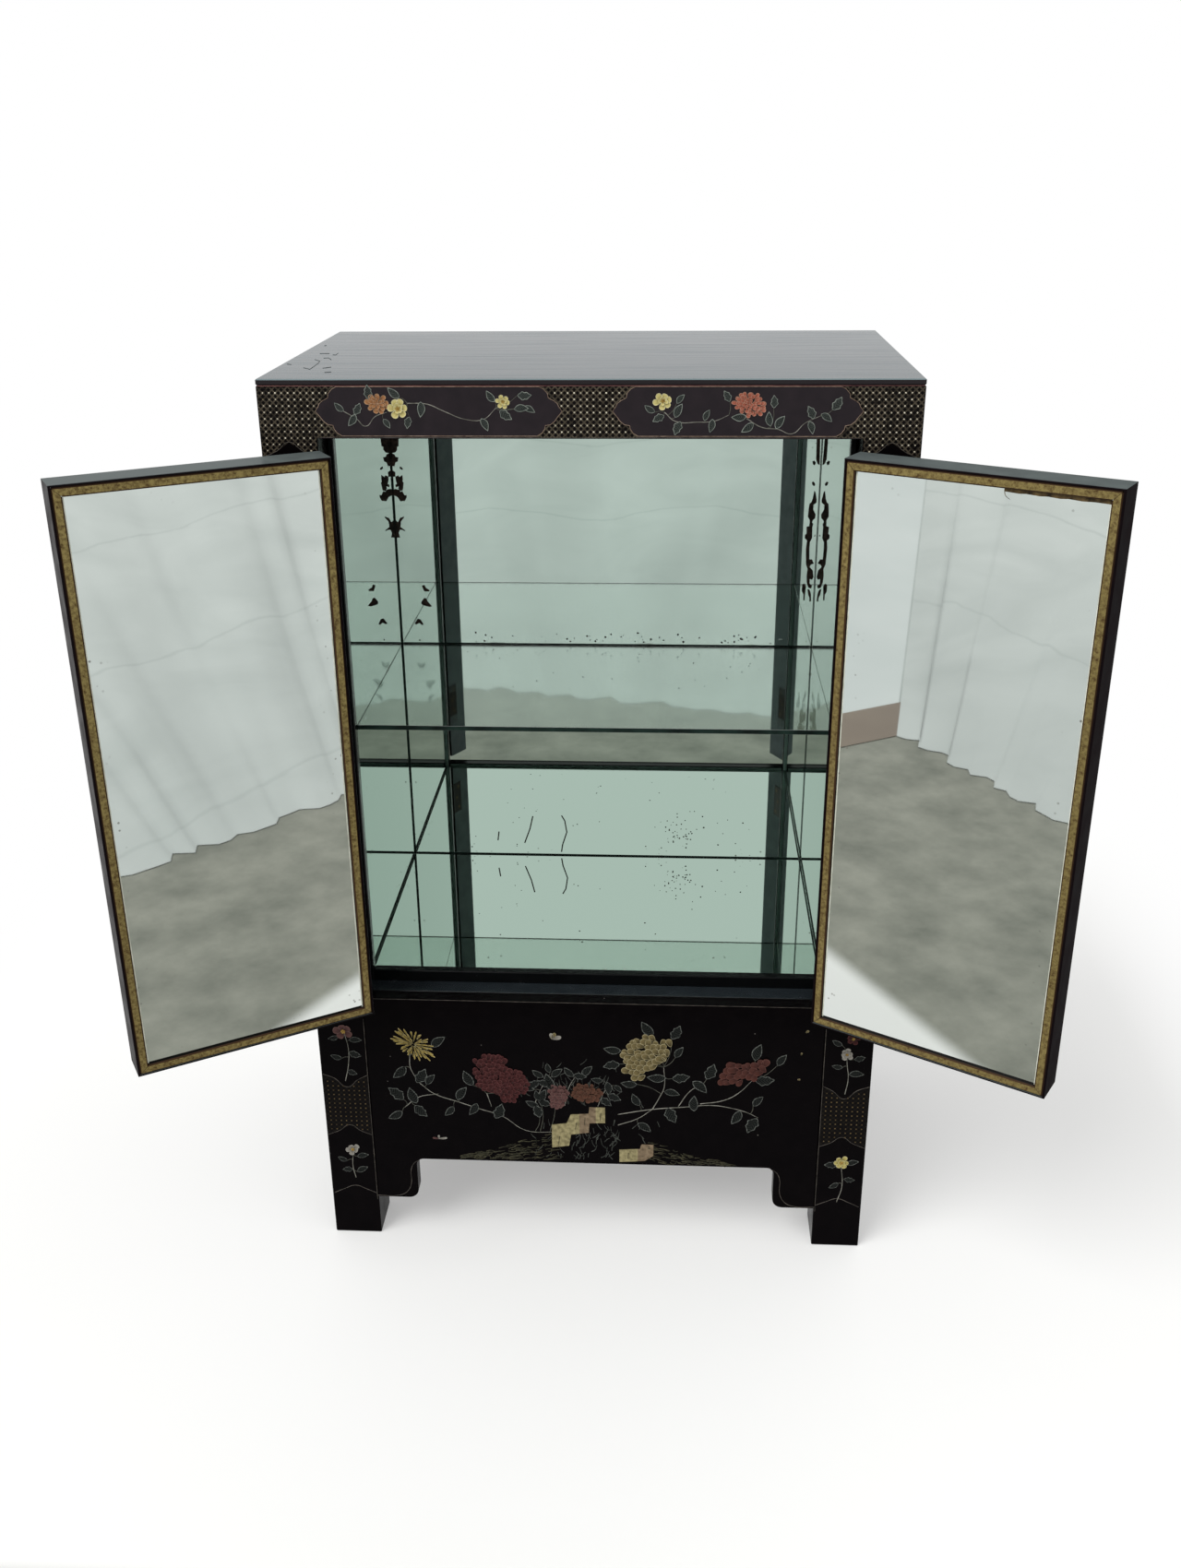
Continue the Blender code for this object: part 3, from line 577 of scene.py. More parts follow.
grounds = {
    "diaper_ground_left": [(-287, FRIEZE_TOP)] + ends["left"][0] + [(-284, FRIEZE_FOOT)] + top_band,
    "diaper_ground_middle": (
        [(55, FRIEZE_TOP)] + ends["right"][0] + [(58, FRIEZE_FOOT), (-58, FRIEZE_FOOT)]
        + ends["left"][1][::-1] + [(-55, FRIEZE_TOP)]
    ),
    "diaper_ground_right": (
        flipped(top_band[::-1]) + [(283, FRIEZE_FOOT)] + ends["right"][1][::-1] + [(286, FRIEZE_TOP)]
    ),
    "diaper_band_left": foot_band,
    "diaper_band_right": flipped(foot_band[::-1]),
}
frieze_lattice = diaper_ground("diaper ground of lacquer and gold", "4c453a")
post_lattice = diaper_ground("rubbed diaper ground", "15120e")
for name, outline in grounds.items():
    lattice = post_lattice if "band" in name else frieze_lattice
    ground = cut_sheet(name, [outline], GROUND_THICK, on_front, lattice)
    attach(ground, "case")

bpy.ops.object.select_all(action="DESELECT")
bpy.ops.mesh.primitive_circle_add(vertices=8, radius=DOT_RADIUS * MM, fill_type="NGON")
dot = bpy.context.object
bpy.ops.object.mode_set(mode="EDIT")
bpy.ops.mesh.extrude_region_move(TRANSFORM_OT_translate={"value": (0.0, 0.0, DOT_RISE)})
bpy.ops.transform.resize(value=(DOT_TAPER, DOT_TAPER, 1.0))
bpy.ops.mesh.inset(thickness=CROWN_INSET, depth=CROWN_RISE)
bpy.ops.object.mode_set(mode="OBJECT")
close_mesh()
cream_dots = paint("cream lacquer dots", "5f543c", "e4ddc9", 0.004)
rubbed_dots = paint("rubbed cream dots", "2e2313", "6e5c3c", 0.006)
dot.data.materials.append(cream_dots)
dots = []
margin = (-DOT_MARGIN, DOT_MARGIN)
for name, outline in grounds.items():
    dot.data.materials[0] = rubbed_dots if "band" in name else cream_dots
    low = [math.floor(min(p[axis] for p in outline) / DIAPER_PITCH) for axis in (0, 1)]
    high = [math.ceil(max(p[axis] for p in outline) / DIAPER_PITCH) for axis in (0, 1)]
    for column in range(low[0], high[0] + 1):
        for row in range(low[1], high[1] + 1):
            x, z = column * DIAPER_PITCH, row * DIAPER_PITCH
            if all(inside((x + dx, z + dz), outline) for dx in margin for dz in margin):
                copy = dot.copy()
                copy.data = dot.data.copy()
                bpy.context.collection.objects.link(copy)
                copy.matrix_world = on_front @ Matrix.Translation((x * MM, z * MM, 0.0))
                dots.append(copy)
bpy.data.objects.remove(dot)
join_pieces("diaper_dots", dots, "case")


# The painted border lines: fine raised lines of pinkish gold round the cartouches, along the rails
# and posts, over the plain feet and inside the brackets of the apron. Brushed on, then varnished.
FINE_LINE, POST_LINE, TOP_LINE = 0.7, 0.8, 1.0
rose_gold = paint("rose gold line paint", "6a5546", "a08a78", 0.006)
dim_line = paint("rubbed line paint", "34312d", "605a53", 0.010)
red_line = paint("red-brown line paint", "4f3134", "7a5550", 0.020)
outlines = [ends[side][0] + ends[side][1][::-1] for side in ends]
foot_line = [(-377, 70), (-361, 78), (-345, 84), (-330, 78), (-315, 71)]
bracket = [(-315, 67.5), (-284, 68), (-271, 75), (-264, 90), (-263, 114), (-258, 126), (-250, 131.5)]
post_lines = [top_band[1:6], foot_band[:5], foot_band[5:], foot_line]
post_lines += [flipped(line) for line in post_lines]
post_lines += [bracket, flipped(bracket)]
rail_edges = [[(-312, height), (312, height)] for height in (FRIEZE_FOOT + 0.3, 398.8)]
post_edges = [[(x, 366), (x, 60)] for x in (-315.0, 315.0)]
top_edge = [[(-378, 1212.4), (378, 1212.4)]]
border_lines = [
    drawn_lines(
        "frieze_cartouche_lines", outlines, FINE_LINE, on_front, rose_gold, closed=True, smooth=False
    ),
    drawn_lines("post_and_bracket_lines", post_lines, POST_LINE, on_front, dim_line),
    drawn_lines("rail_edge_lines", rail_edges, FINE_LINE, on_front, dim_line),
    drawn_lines("post_edge_lines", post_edges, POST_LINE, on_front, dim_line),
    drawn_lines("frieze_top_line", top_edge, TOP_LINE, on_front, red_line),
]
join_pieces("painted_border_lines", border_lines, "case")


# The cracked corner of the top: by the left front corner the lacquer has lifted along the grain in a
# few short dark cracks, as thin as the paint lines and lying on the board.
CRACK_WIDTH = 0.9
CRACKS = [
    [(-345, -38), (-334.5, -51), (-335, -33), (-336, -1), (-338.5, 21), (-348, 35)],
    [(-340, 48), (-334, 50), (-327, 33)], [(-335, 80), (-331, 78), (-331.5, 96)],
    [(-321, -42), (-313, -33)], [(-354.5, 92), (-342, 92)], [(-311, -78), (-304, -73.5)],
    [(-373, -5), (-367, -10)], [(-366, 171), (-364, 174)],
]
on_top = Matrix.Translation((0.0, 0.0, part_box("top_panel")[1][2]))
crack_paint = paint("dark crack in the lacquer", "1c2626", "3c4a4a", 0.010)
cracks = drawn_lines("top_cracks", CRACKS, CRACK_WIDTH, on_top, crack_paint, smooth=False)
join_pieces("top_cracks", [cracks], "case")


# The painted flowers: sprays of peony and chrysanthemum built up in low relief with thick lacquer
# paint on the black ground, each leaf and petal with a paler raised rim, on brushed stems.
LEAF_RISE = 0.0006
LEAF_STEPS, PETAL_STEPS = 12, 16
RIB = 0.012
VEINS = 7.0


def select_where(piece, test):
    """Selects the faces whose middle and normal pass a test, and leaves edit mode on."""
    bpy.ops.object.mode_set(mode="EDIT")
    bpy.ops.mesh.select_mode(type="FACE")
    bpy.ops.mesh.select_all(action="DESELECT")
    bpy.ops.object.mode_set(mode="OBJECT")
    for polygon in piece.data.polygons:
        polygon.select = test(polygon.center, polygon.normal)
    bpy.ops.object.mode_set(mode="EDIT")


def plan_coordinates(piece):
    """Keeps each point's place on the flat template as a UV map, which copies carry along."""
    plan = piece.data.uv_layers.new(name="plan")
    for loop in piece.data.loops:
        plan.data[loop.index].uv = piece.data.vertices[loop.vertex_index].co.xy


def rimmed_shape(name, points, rim, crown):
    """A flat outline raised into a shape with a rim, and a crowned middle of a second finish."""
    bpy.ops.object.select_all(action="DESELECT")
    bpy.ops.mesh.primitive_circle_add(vertices=len(points), radius=0.5, fill_type="NGON")
    made = bpy.context.object
    made.name = name
    for vertex, (across, up) in zip(made.data.vertices, points):
        vertex.co = (across, up, 0.0)
    bpy.ops.object.mode_set(mode="EDIT")
    bpy.ops.mesh.select_all(action="SELECT")
    bpy.ops.mesh.normals_make_consistent(inside=False)
    bpy.ops.mesh.extrude_region_move(TRANSFORM_OT_translate={"value": (0.0, 0.0, LEAF_RISE)})
    bpy.ops.mesh.inset(thickness=rim, depth=0.0)
    bpy.ops.object.mode_set(mode="OBJECT")
    made.data.materials.append(None)
    made.data.materials.append(None)
    for polygon in made.data.polygons:
        polygon.material_index = 1 if polygon.select else 0
    bpy.ops.object.mode_set(mode="EDIT")
    bpy.ops.mesh.inset(thickness=rim * 1.6, depth=crown)
    bpy.ops.object.mode_set(mode="OBJECT")
    return made


def leaf_outline(half_width, bend, lobes):
    """Points round a leaf one unit long, from its base at x 0 to its tip, bent sideways a little."""
    points = []
    for side in (1, -1):
        for step in range(LEAF_STEPS):
            reach = step / LEAF_STEPS if side == 1 else 1 - step / LEAF_STEPS
            wide = half_width * math.sin(math.pi * reach ** 0.8) ** 0.9
            wide *= 1 + lobes * math.cos(6 * math.pi * reach)
            points.append((reach, side * wide + bend * math.sin(math.pi * reach)))
    return points


petal_points = []
for step in range(PETAL_STEPS):
    angle = 2 * math.pi * step / PETAL_STEPS
    wide = 0.5 * math.sin(angle) * (0.72 + 0.28 * math.cos(angle - math.pi))
    petal_points.append((0.5 - 0.5 * math.cos(angle), wide))
plain_outline = leaf_outline(half_width=0.25, bend=0.05, lobes=0.0)
lobed_outline = leaf_outline(half_width=0.28, bend=-0.04, lobes=0.16)
leaf = rimmed_shape("leaf_template", plain_outline, rim=0.036, crown=-0.0001)
lobed_leaf = rimmed_shape("lobed_leaf_template", lobed_outline, rim=0.036, crown=-0.0001)
petal = rimmed_shape("petal_template", petal_points, rim=0.045, crown=0.0003)
for shape in (leaf, lobed_leaf):
    bpy.ops.object.select_all(action="DESELECT")
    shape.select_set(True)
    bpy.context.view_layer.objects.active = shape
    for rib in (-RIB, RIB):
        select_where(shape, lambda centre, normal: normal.z > 0.5 and centre.z > 0.0)
        bpy.ops.mesh.bisect(plane_co=(0.0, rib, 0.0), plane_no=(0.0, 1.0, 0.0))
        bpy.ops.object.mode_set(mode="OBJECT")
    for polygon in shape.data.polygons:
        if polygon.normal.z > 0.5 and abs(polygon.center.y) < RIB and polygon.center.x < 0.9:
            polygon.material_index = 0
for shape in (leaf, lobed_leaf, petal):
    plan_coordinates(shape)


def leaf_paint(name, deep, pale, vein):
    """Leaf paint with fine slanting veins either side of the rib, about 2 mm apart."""
    made, tree, shader, place = begin_finish(name, 0.45)
    plug(shader, {"Specular IOR Level": 0.04})
    plan = add_node(tree, "ShaderNodeUVMap", {}, uv_map="plan")
    split = add_node(tree, "ShaderNodeSeparateXYZ", {0: plan})
    wide = add_node(tree, "ShaderNodeMath", {0: split.outputs["Y"]}, operation="ABSOLUTE")
    slant = add_node(tree, "ShaderNodeMath", {0: split.outputs["X"], 1: wide}, operation="SUBTRACT")
    count = add_node(tree, "ShaderNodeMath", {0: slant, 1: VEINS}, operation="MULTIPLY")
    away = add_node(tree, "ShaderNodeMath", {0: count, 1: 0.5}, operation="PINGPONG")
    line = add_node(
        tree, "ShaderNodeMapRange",
        {"Value": away, "From Min": 0.04, "From Max": 0.13, "To Min": 0.85, "To Max": 0.0},
    )
    tone = add_node(tree, "ShaderNodeTexNoise", {"Vector": place, "Scale": 1 / 0.010, "Detail": 3.0})
    body = add_node(tree, "ShaderNodeMix", {0: tone, 6: linear(deep), 7: linear(pale)}, data_type="RGBA")
    colour = add_node(tree, "ShaderNodeMix", {0: line, 6: body, 7: linear(vein)}, data_type="RGBA")
    plug(shader, {"Base Color": colour})
    return made


def petal_paint(name, root, tip):
    """Petal paint, deep at the root and paler to the tip, with brush streaks along the petal."""
    made, tree, shader, _ = begin_finish(name, 0.42)
    plug(shader, {"Specular IOR Level": 0.1})
    plan = add_node(tree, "ShaderNodeUVMap", {}, uv_map="plan")
    stretch = add_node(tree, "ShaderNodeMapping", {"Vector": plan, "Scale": (2.0, 12.0, 1.0)})
    streak = add_node(tree, "ShaderNodeTexNoise", {"Vector": stretch, "Scale": 1.0, "Detail": 3.0})
    split = add_node(tree, "ShaderNodeSeparateXYZ", {0: plan})
    mixed = add_node(tree, "ShaderNodeMath", {0: split.outputs["X"], 1: streak}, operation="ADD")
    spread = add_node(tree, "ShaderNodeMapRange", {"Value": mixed, "From Min": 0.55, "From Max": 1.35})
    colour = add_node(
        tree, "ShaderNodeMix", {0: spread, 6: linear(root), 7: linear(tip)}, data_type="RGBA"
    )
    plug(shader, {"Base Color": colour})
    return made


# For each leaf and petal, the rim's two tones and its grain in metres, then the tones of the body.
LEAF_TONES = {
    "grey": ("grey leaf rim", "222422", "686b66", 0.003, "dark leaf", "060707", "121413", "3a3d3a"),
    "silver": (
        "silver-green leaf rim", "626963", "92988f", 0.006, "grey leaf", "151717", "2d312f", "5d625d",
    ),
}
PETAL_TONES = {
    "gold": ("pale gold petal rim", "8f7d4e", "d2c795", 0.006, "gold petal", "33290f", "94803f"),
    "red": ("rose petal rim", "3a1d1f", "6a3f3d", 0.003, "dark red petal", "170708", "3c1919"),
    "brick": ("brick petal rim", "452925", "623f38", 0.004, "brick petal", "2a1412", "472721"),
    "cream": ("cream petal rim", "776c4e", "ada27e", 0.004, "cream petal", "2a2514", "695d3d"),
    "coral": ("coral petal rim", "a07666", "c09882", 0.004, "coral petal", "6c3529", "9f5c4a"),
    "peach": ("peach petal rim", "a58367", "c2a486", 0.004, "peach petal", "613f29", "9a6c46"),
    "lemon": ("lemon petal rim", "bfb684", "dad4b0", 0.006, "lemon petal", "877a42", "c4b87a"),
    "orange": ("orange petal rim", "483227", "674b3b", 0.006, "orange petal", "29160f", "4f3226"),
    "white": ("white petal rim", "7a776f", "a3a097", 0.006, "white petal", "57534c", "85817a"),
    "pink": ("pink petal rim", "4f3937", "6f5550", 0.006, "pink petal", "321d1e", "573b38"),
    "straw": ("straw petal rim", "a39a68", "c8c098", 0.006, "straw petal", "6f6430", "a89c5c"),
}
LEAVES = {name: (paint(*tones[:4]), leaf_paint(*tones[4:])) for name, tones in LEAF_TONES.items()}
PETALS = {name: (paint(*tones[:4]), petal_paint(*tones[4:])) for name, tones in PETAL_TONES.items()}
stem_paint = paint("grey-brown stem paint", "5c5b53", "8d8b82", 0.008)
twig_paint = paint("dark twig paint", "3d3e37", "59594f", 0.010)
heart_paint = paint("ochre flower heart", "6f5526", "b3954e", 0.002)

# The rings of petals in each kind of flower, the outermost first: how many petals, where they start,
# how far they reach and how wide they are in radii, their tilt in degrees and their lift in mm.
RINGS = {
    "chrysanthemum": [
        (26, 0.50, 0.52, 0.085, 2, 0.0), (18, 0.26, 0.46, 0.08, 5, 0.4), (10, 0.08, 0.36, 0.07, 9, 0.8),
    ],
    "peony": [
        (15, 0.54, 0.46, 0.30, 2, 0.0), (13, 0.40, 0.42, 0.28, 4, 0.3), (11, 0.26, 0.40, 0.26, 7, 0.6),
        (9, 0.12, 0.36, 0.24, 11, 0.9), (5, 0.0, 0.26, 0.20, 16, 1.2),
    ],
    "lens": [(9, 0.30, 0.66, 0.46, 2, 0.0), (8, 0.14, 0.60, 0.36, 6, 0.5), (6, 0.0, 0.50, 0.28, 12, 1.0)],
    "rosette": [(6, 0.14, 0.86, 0.74, 4, 0.0), (5, 0.04, 0.50, 0.46, 14, 0.5)],
    "plum": [(5, 0.12, 0.88, 0.86, 4, 0.0)],
}
# How far petals and leaves may sway in degrees, and how much shorter, longer or wider they may grow.
PETAL_SWAY, PETAL_LENGTHS, PETAL_WIDTHS, PETAL_OVERLAP = 9, (0.76, 1.14), (0.9, 1.15), 1.15
HEART_PETALS, HEART_LONG, HEART_WIDE, HEART_LIFT = 5, 0.24, 0.2, 1.1
MASS_STEP, MASS_SHIFT, MASS_LIFT, MASS_TILT = 0.58, 0.25, 1.2, 4
MASS_SWAY, MASS_LENGTHS, MASS_FOOT, MASS_WIDE = 35, (0.8, 1.15), 0.6, 0.85
LEAF_SWAY, LEAF_LENGTHS, LEAF_LIFT = 25, (0.85, 1.2), 0.1
TWIG_GAP, TWIG_BEND, TWIG_THIN = 2.0, 0.06, 0.7


def place_copy(template, finishes, matrix):
    """A copy of a template with its own mesh, its rim and body finishes, and its place."""
    copy = template.copy()
    copy.data = template.data.copy()
    copy.data.materials[0], copy.data.materials[1] = finishes
    bpy.context.collection.objects.link(copy)
    copy.matrix_world = matrix
    return copy


def paint_bloom(face, kind, colour, x, z, length, height, turn, chance):
    """One flower head in rings of petals, an oval of a given length and height in millimetres."""
    made = []
    centre = face @ Matrix.Translation((x * MM, z * MM, 0.0))
    centre = centre @ Matrix.Rotation(math.radians(turn), 4, "Z")
    radius = length * MM / 2
    squat = height / length
    for count, start, reach, wide, tilt, lift in RINGS[kind]:
        swing = chance.uniform(0, 360)
        for number in range(count):
            sway = chance.uniform(-PETAL_SWAY, PETAL_SWAY)
            round_angle = math.radians(swing + 360 * number / count + sway)
            away = Vector((math.cos(round_angle), squat * math.sin(round_angle)))
            angle = math.atan2(away.y, away.x)
            grow = away.length * chance.uniform(*PETAL_LENGTHS)
            broad = wide * (0.5 + 0.5 * squat) * chance.uniform(*PETAL_WIDTHS)
            made.append(place_copy(
                petal, PETALS[colour],
                centre @ Matrix.Translation((start * radius * away.x, start * radius * away.y, lift * MM))
                @ Matrix.Rotation(angle, 4, "Z") @ Matrix.Rotation(math.radians(-tilt), 4, "Y")
                @ Matrix.Diagonal((reach * radius * grow, broad * radius * PETAL_OVERLAP, 1.0, 1.0)),
            ))
    if kind in ("rosette", "plum"):
        for number in range(HEART_PETALS):
            angle = math.radians(360 / HEART_PETALS * number + swing)
            made.append(place_copy(
                petal, (heart_paint, heart_paint),
                centre @ Matrix.Rotation(angle, 4, "Z") @ Matrix.Translation((0.0, 0.0, HEART_LIFT * MM))
                @ Matrix.Diagonal((HEART_LONG * radius, HEART_WIDE * radius, 1.0, 1.0)),
            ))
    return made


def paint_mass(face, colour, outline, root, length, chance):
    """A full flower head: an outline filled with small petals, laid like tiles away from its root."""
    low = [min(point[axis] for point in outline) for axis in (0, 1)]
    high = [max(point[axis] for point in outline) for axis in (0, 1)]
    step = MASS_STEP * length
    spots = []
    for row in range(math.ceil((high[1] - low[1]) / step)):
        for column in range(math.ceil((high[0] - low[0]) / step) + 1):
            spot = Vector((low[0] + step * (column - 0.5 * (row % 2)), low[1] + step * (row + 0.5)))
            shift = [chance.uniform(-MASS_SHIFT, MASS_SHIFT) for axis in (0, 1)]
            spot += Vector(shift) * step
            if inside(spot, outline):
                spots.append(spot)
    spots.sort(key=lambda spot: -(spot - Vector(root)).length)
    made = []
    for number, spot in enumerate(spots):
        away = spot - Vector(root)
        angle = math.atan2(away.y, away.x) + math.radians(chance.uniform(-MASS_SWAY, MASS_SWAY))
        grown = length * chance.uniform(*MASS_LENGTHS)
        foot = spot - Vector((math.cos(angle), math.sin(angle))) * MASS_FOOT * grown
        made.append(place_copy(
            petal, PETALS[colour],
            face @ Matrix.Translation((foot.x * MM, foot.y * MM, MASS_LIFT * MM * number / len(spots)))
            @ Matrix.Rotation(angle, 4, "Z") @ Matrix.Rotation(math.radians(-MASS_TILT), 4, "Y")
            @ Matrix.Diagonal((grown * MM, MASS_WIDE * grown * MM, 1.0, 1.0)),
        ))
    return made


def along(stem, steps=6):
    """Points along a stem, close enough together to find the nearest."""
    spots = []
    for start, end in zip(stem, stem[1:]):
        for step in range(steps):
            spots.append(Vector(start).lerp(Vector(end), step / steps))
    return spots + [Vector(stem[-1])]


def paint_spray(name, body, face, stems, leaves, blooms, size, leaf_colour, seed, line=1.3, masses=()):
    """A whole spray: stems, leaves that grow away from the nearest stem, their twigs, and flowers."""
    chance = random.Random(seed)
    pieces = [drawn_lines(f"{name}_stems", stems, line, face, stem_paint, taper=0.6)]
    spots = [spot for stem in stems for spot in along(stem)]
    twigs = []
    for number, (x, z) in enumerate(leaves):
        middle = Vector((x, z))
        root = min(spots, key=lambda spot: (spot - middle).length)
        away = middle - root
        grown = size * chance.uniform(*LEAF_LENGTHS)
        angle = math.atan2(away.y, away.x) + math.radians(chance.uniform(-LEAF_SWAY, LEAF_SWAY))
        foot = middle - Vector((math.cos(angle), math.sin(angle))) * grown / 2
        if (foot - root).length > TWIG_GAP:
            elbow = (root + foot) / 2 + Vector((away.y, -away.x)) * TWIG_BEND
            twigs.append([tuple(root), tuple(elbow), tuple(foot)])
        shape = lobed_leaf if number % 3 == 1 else leaf
        pieces.append(place_copy(
            shape, LEAVES[leaf_colour],
            face @ Matrix.Translation((foot.x * MM, foot.y * MM, LEAF_LIFT * MM * (number % 3)))
            @ Matrix.Rotation(angle, 4, "Z") @ Matrix.Diagonal((grown * MM, grown * MM, 1.0, 1.0)),
        ))
    if twigs:
        pieces.append(drawn_lines(f"{name}_twigs", twigs, line * TWIG_THIN, face, twig_paint, taper=0.7))
    for bloom in blooms:
        pieces += paint_bloom(face, *bloom, chance)
    for mass in masses:
        pieces += paint_mass(face, *mass, chance)
    return join_pieces(name, pieces, body)


paint_spray(
    "frieze_spray_left", "case", on_front,
    stems=[
        [(-280, 1184), (-265, 1175), (-256, 1167), (-244, 1178), (-230, 1183)],
        [(-206, 1193), (-183, 1192), (-164, 1184), (-140, 1175), (-119, 1175), (-104, 1188)],
    ],
    leaves=[
        (-285, 1189), (-264, 1187), (-271, 1174), (-231, 1170), (-206, 1171), (-191, 1186), (-221, 1205),
        (-251, 1206), (-118, 1169), (-110, 1201), (-71, 1202), (-75, 1187), (-66, 1186), (-93, 1180),
    ],
    blooms=[
        ("lens", "peach", -240, 1193, 30, 24, -10), ("rosette", "lemon", -217, 1187, 25, 24, 10),
        ("rosette", "lemon", -96, 1195, 17, 16, 0),
    ],
    size=15, leaf_colour="silver", seed=3, line=1.1,
)
paint_spray(
    "frieze_spray_right", "case", on_front,
    stems=[
        [(88, 1183), (100, 1173), (126, 1172), (144, 1173), (161, 1180)],
        [(181, 1176), (199, 1166), (217, 1164), (233, 1159), (247, 1171), (264, 1179)],
    ],
    leaves=[
        (71, 1187), (81, 1176), (106, 1198), (104, 1185), (103, 1165), (141, 1168), (136, 1180),
        (158, 1201), (172, 1178), (182, 1166), (211, 1195), (207, 1176), (219, 1172), (253, 1183),
        (254, 1166), (271, 1177), (282, 1193),
    ],
    blooms=[("rosette", "lemon", 86, 1196, 22, 20, 0), ("peony", "coral", 184, 1192, 40, 29, -15)],
    size=15, leaf_colour="silver", seed=4, line=1.1,
)
paint_spray(
    "apron_spray_left", "case", on_front,
    stems=[
        [(-242, 263), (-224, 247), (-188, 233), (-161, 223), (-128, 211), (-96, 188), (-55, 186)],
        [(-265, 223), (-245, 240), (-217, 246)],
        [(-254, 310), (-254, 288), (-242, 263)],
        [(-149, 249), (-143, 227)],
    ],
    leaves=[
        (-213, 332), (-240, 276), (-270, 281), (-227, 270), (-277, 245), (-253, 243), (-280, 209),
        (-243, 217), (-203, 218), (-169, 222), (-133, 220), (-174, 274), (-184, 248), (-83, 267),
        (-70, 248), (-61, 271), (-79, 222),
    ],
    blooms=[("chrysanthemum", "gold", -248, 327, 66, 40, -37)],
    masses=[
        (
            "red",
            [
                (-126, 274), (-115, 286), (-103, 288), (-92, 280), (-90, 270), (-95, 256), (-102, 248),
                (-109, 240), (-120, 237), (-131, 242), (-136, 252), (-133, 266),
            ],
            (-130, 248), 11.0,
        ),
        (
            "red",
            [
                (-163, 304), (-155, 312), (-140, 315), (-127, 310), (-118, 300), (-115, 287),
                (-121, 269), (-131, 253), (-142, 255), (-153, 257), (-163, 264), (-165, 283),
            ],
            (-141, 256), 11.5,
        ),
    ],
    size=24, leaf_colour="grey", seed=5,
)
paint_spray(
    "apron_bush", "case", on_front,
    stems=[
        [(-84, 228), (-74, 256), (-62, 280)], [(-40, 232), (-34, 262), (-24, 282)],
        [(6, 232), (14, 254), (22, 268)],
    ],
    leaves=[
        (-77, 284), (-69, 268), (-50, 286), (-34, 288), (-18, 282), (5, 276), (20, 262), (29, 248),
        (-78, 248), (-86, 234), (-68, 236), (-62, 294), (-8, 290), (18, 240), (34, 262), (-92, 262),
    ],
    blooms=[],
    masses=[
        (
            "pink",
            [
                (-60, 262), (-50, 266), (-38, 262), (-33, 252), (-38, 240), (-45, 230), (-56, 228),
                (-62, 240),
            ],
            (-47, 246), 9.0,
        ),
        (
            "orange",
            [(-30, 258), (-18, 268), (0, 266), (12, 258), (10, 246), (-4, 240), (-20, 242), (-32, 248)],
            (-10, 252), 10.0,
        ),
    ],
    size=18, leaf_colour="grey", seed=10, line=1.0,
)
paint_spray(
    "apron_spray_right", "case", on_front,
    stems=[
        [(34, 219), (82, 229), (126, 234), (165, 238), (192, 234), (212, 228), (229, 219)],
        [(82, 229), (92, 250), (98, 266), (97, 299)],
        [(118, 235), (134, 261), (147, 271)],
        [(148, 240), (181, 247), (200, 259), (218, 280)],
        [(34, 201), (62, 213), (82, 229)],
    ],
    leaves=[
        (74, 361), (113, 356), (118, 324), (26, 326), (25, 300), (49, 271), (87, 282), (121, 283),
        (109, 257), (147, 268), (161, 294), (225, 327), (258, 315), (236, 282), (228, 247), (198, 219),
        (221, 206), (59, 245), (71, 198), (109, 220), (140, 241),
    ],
    blooms=[],
    masses=[
        (
            "cream",
            [
                (41, 324), (44, 333), (55, 343), (66, 346), (77, 356), (86, 346), (92, 342), (106, 345),
                (108, 337), (102, 321), (94, 311), (85, 299), (74, 292), (66, 279), (55, 283), (41, 288),
                (44, 302), (41, 316),
            ],
            (96, 309), 14.0,
        ),
        (
            "brick",
            [
                (177, 295), (183, 306), (202, 311), (220, 313), (239, 316), (243, 313), (237, 304),
                (227, 295), (221, 285), (215, 278), (196, 275), (184, 274), (175, 277), (176, 287),
            ],
            (233, 300), 15.0,
        ),
    ],
    size=24, leaf_colour="grey", seed=6,
)

# Above the ledge, where the open doors hide the posts, both carry the same spray, mirrored.
UPPER_STEM = [(342, 400), (336, 520), (352, 640), (338, 770), (350, 900), (342, 1040), (347, 1110)]
UPPER_LEAVES = [
    (358, 450), (328, 480), (335, 580), (363, 610), (332, 690), (360, 740), (328, 820), (362, 860),
    (336, 950), (360, 1000), (330, 1070),
]
UPPER_BLOOMS = [
    ("rosette", "coral", 338, 535, 30, 30, 0), ("rosette", "lemon", 350, 790, 30, 30, 0),
    ("plum", "white", 346, 1100, 26, 26, 0), ("peony", "red", 345, 930, 30, 30, 0),
]
paint_spray(
    "post_spray_left", "case", on_front,
    stems=[
        [(-347, 264), (-341, 290), (-339, 318), (-343, 343)], [(-344, 98), (-347, 118), (-345, 142)],
        flipped(UPPER_STEM),
    ],
    leaves=[
        (-357, 304), (-330, 309), (-328, 332), (-359, 335), (-336, 279), (-361, 131), (-331, 137),
        (-355, 112), (-333, 113), *flipped(UPPER_LEAVES),
    ],
    blooms=[
        ("plum", "pink", -344, 346, 28, 25, 10), ("plum", "white", -345, 148, 22, 17, 25),
        *[(kind, colour, -x, *rest) for kind, colour, x, *rest in UPPER_BLOOMS],
    ],
    size=17, leaf_colour="grey", seed=7, line=1.2,
)
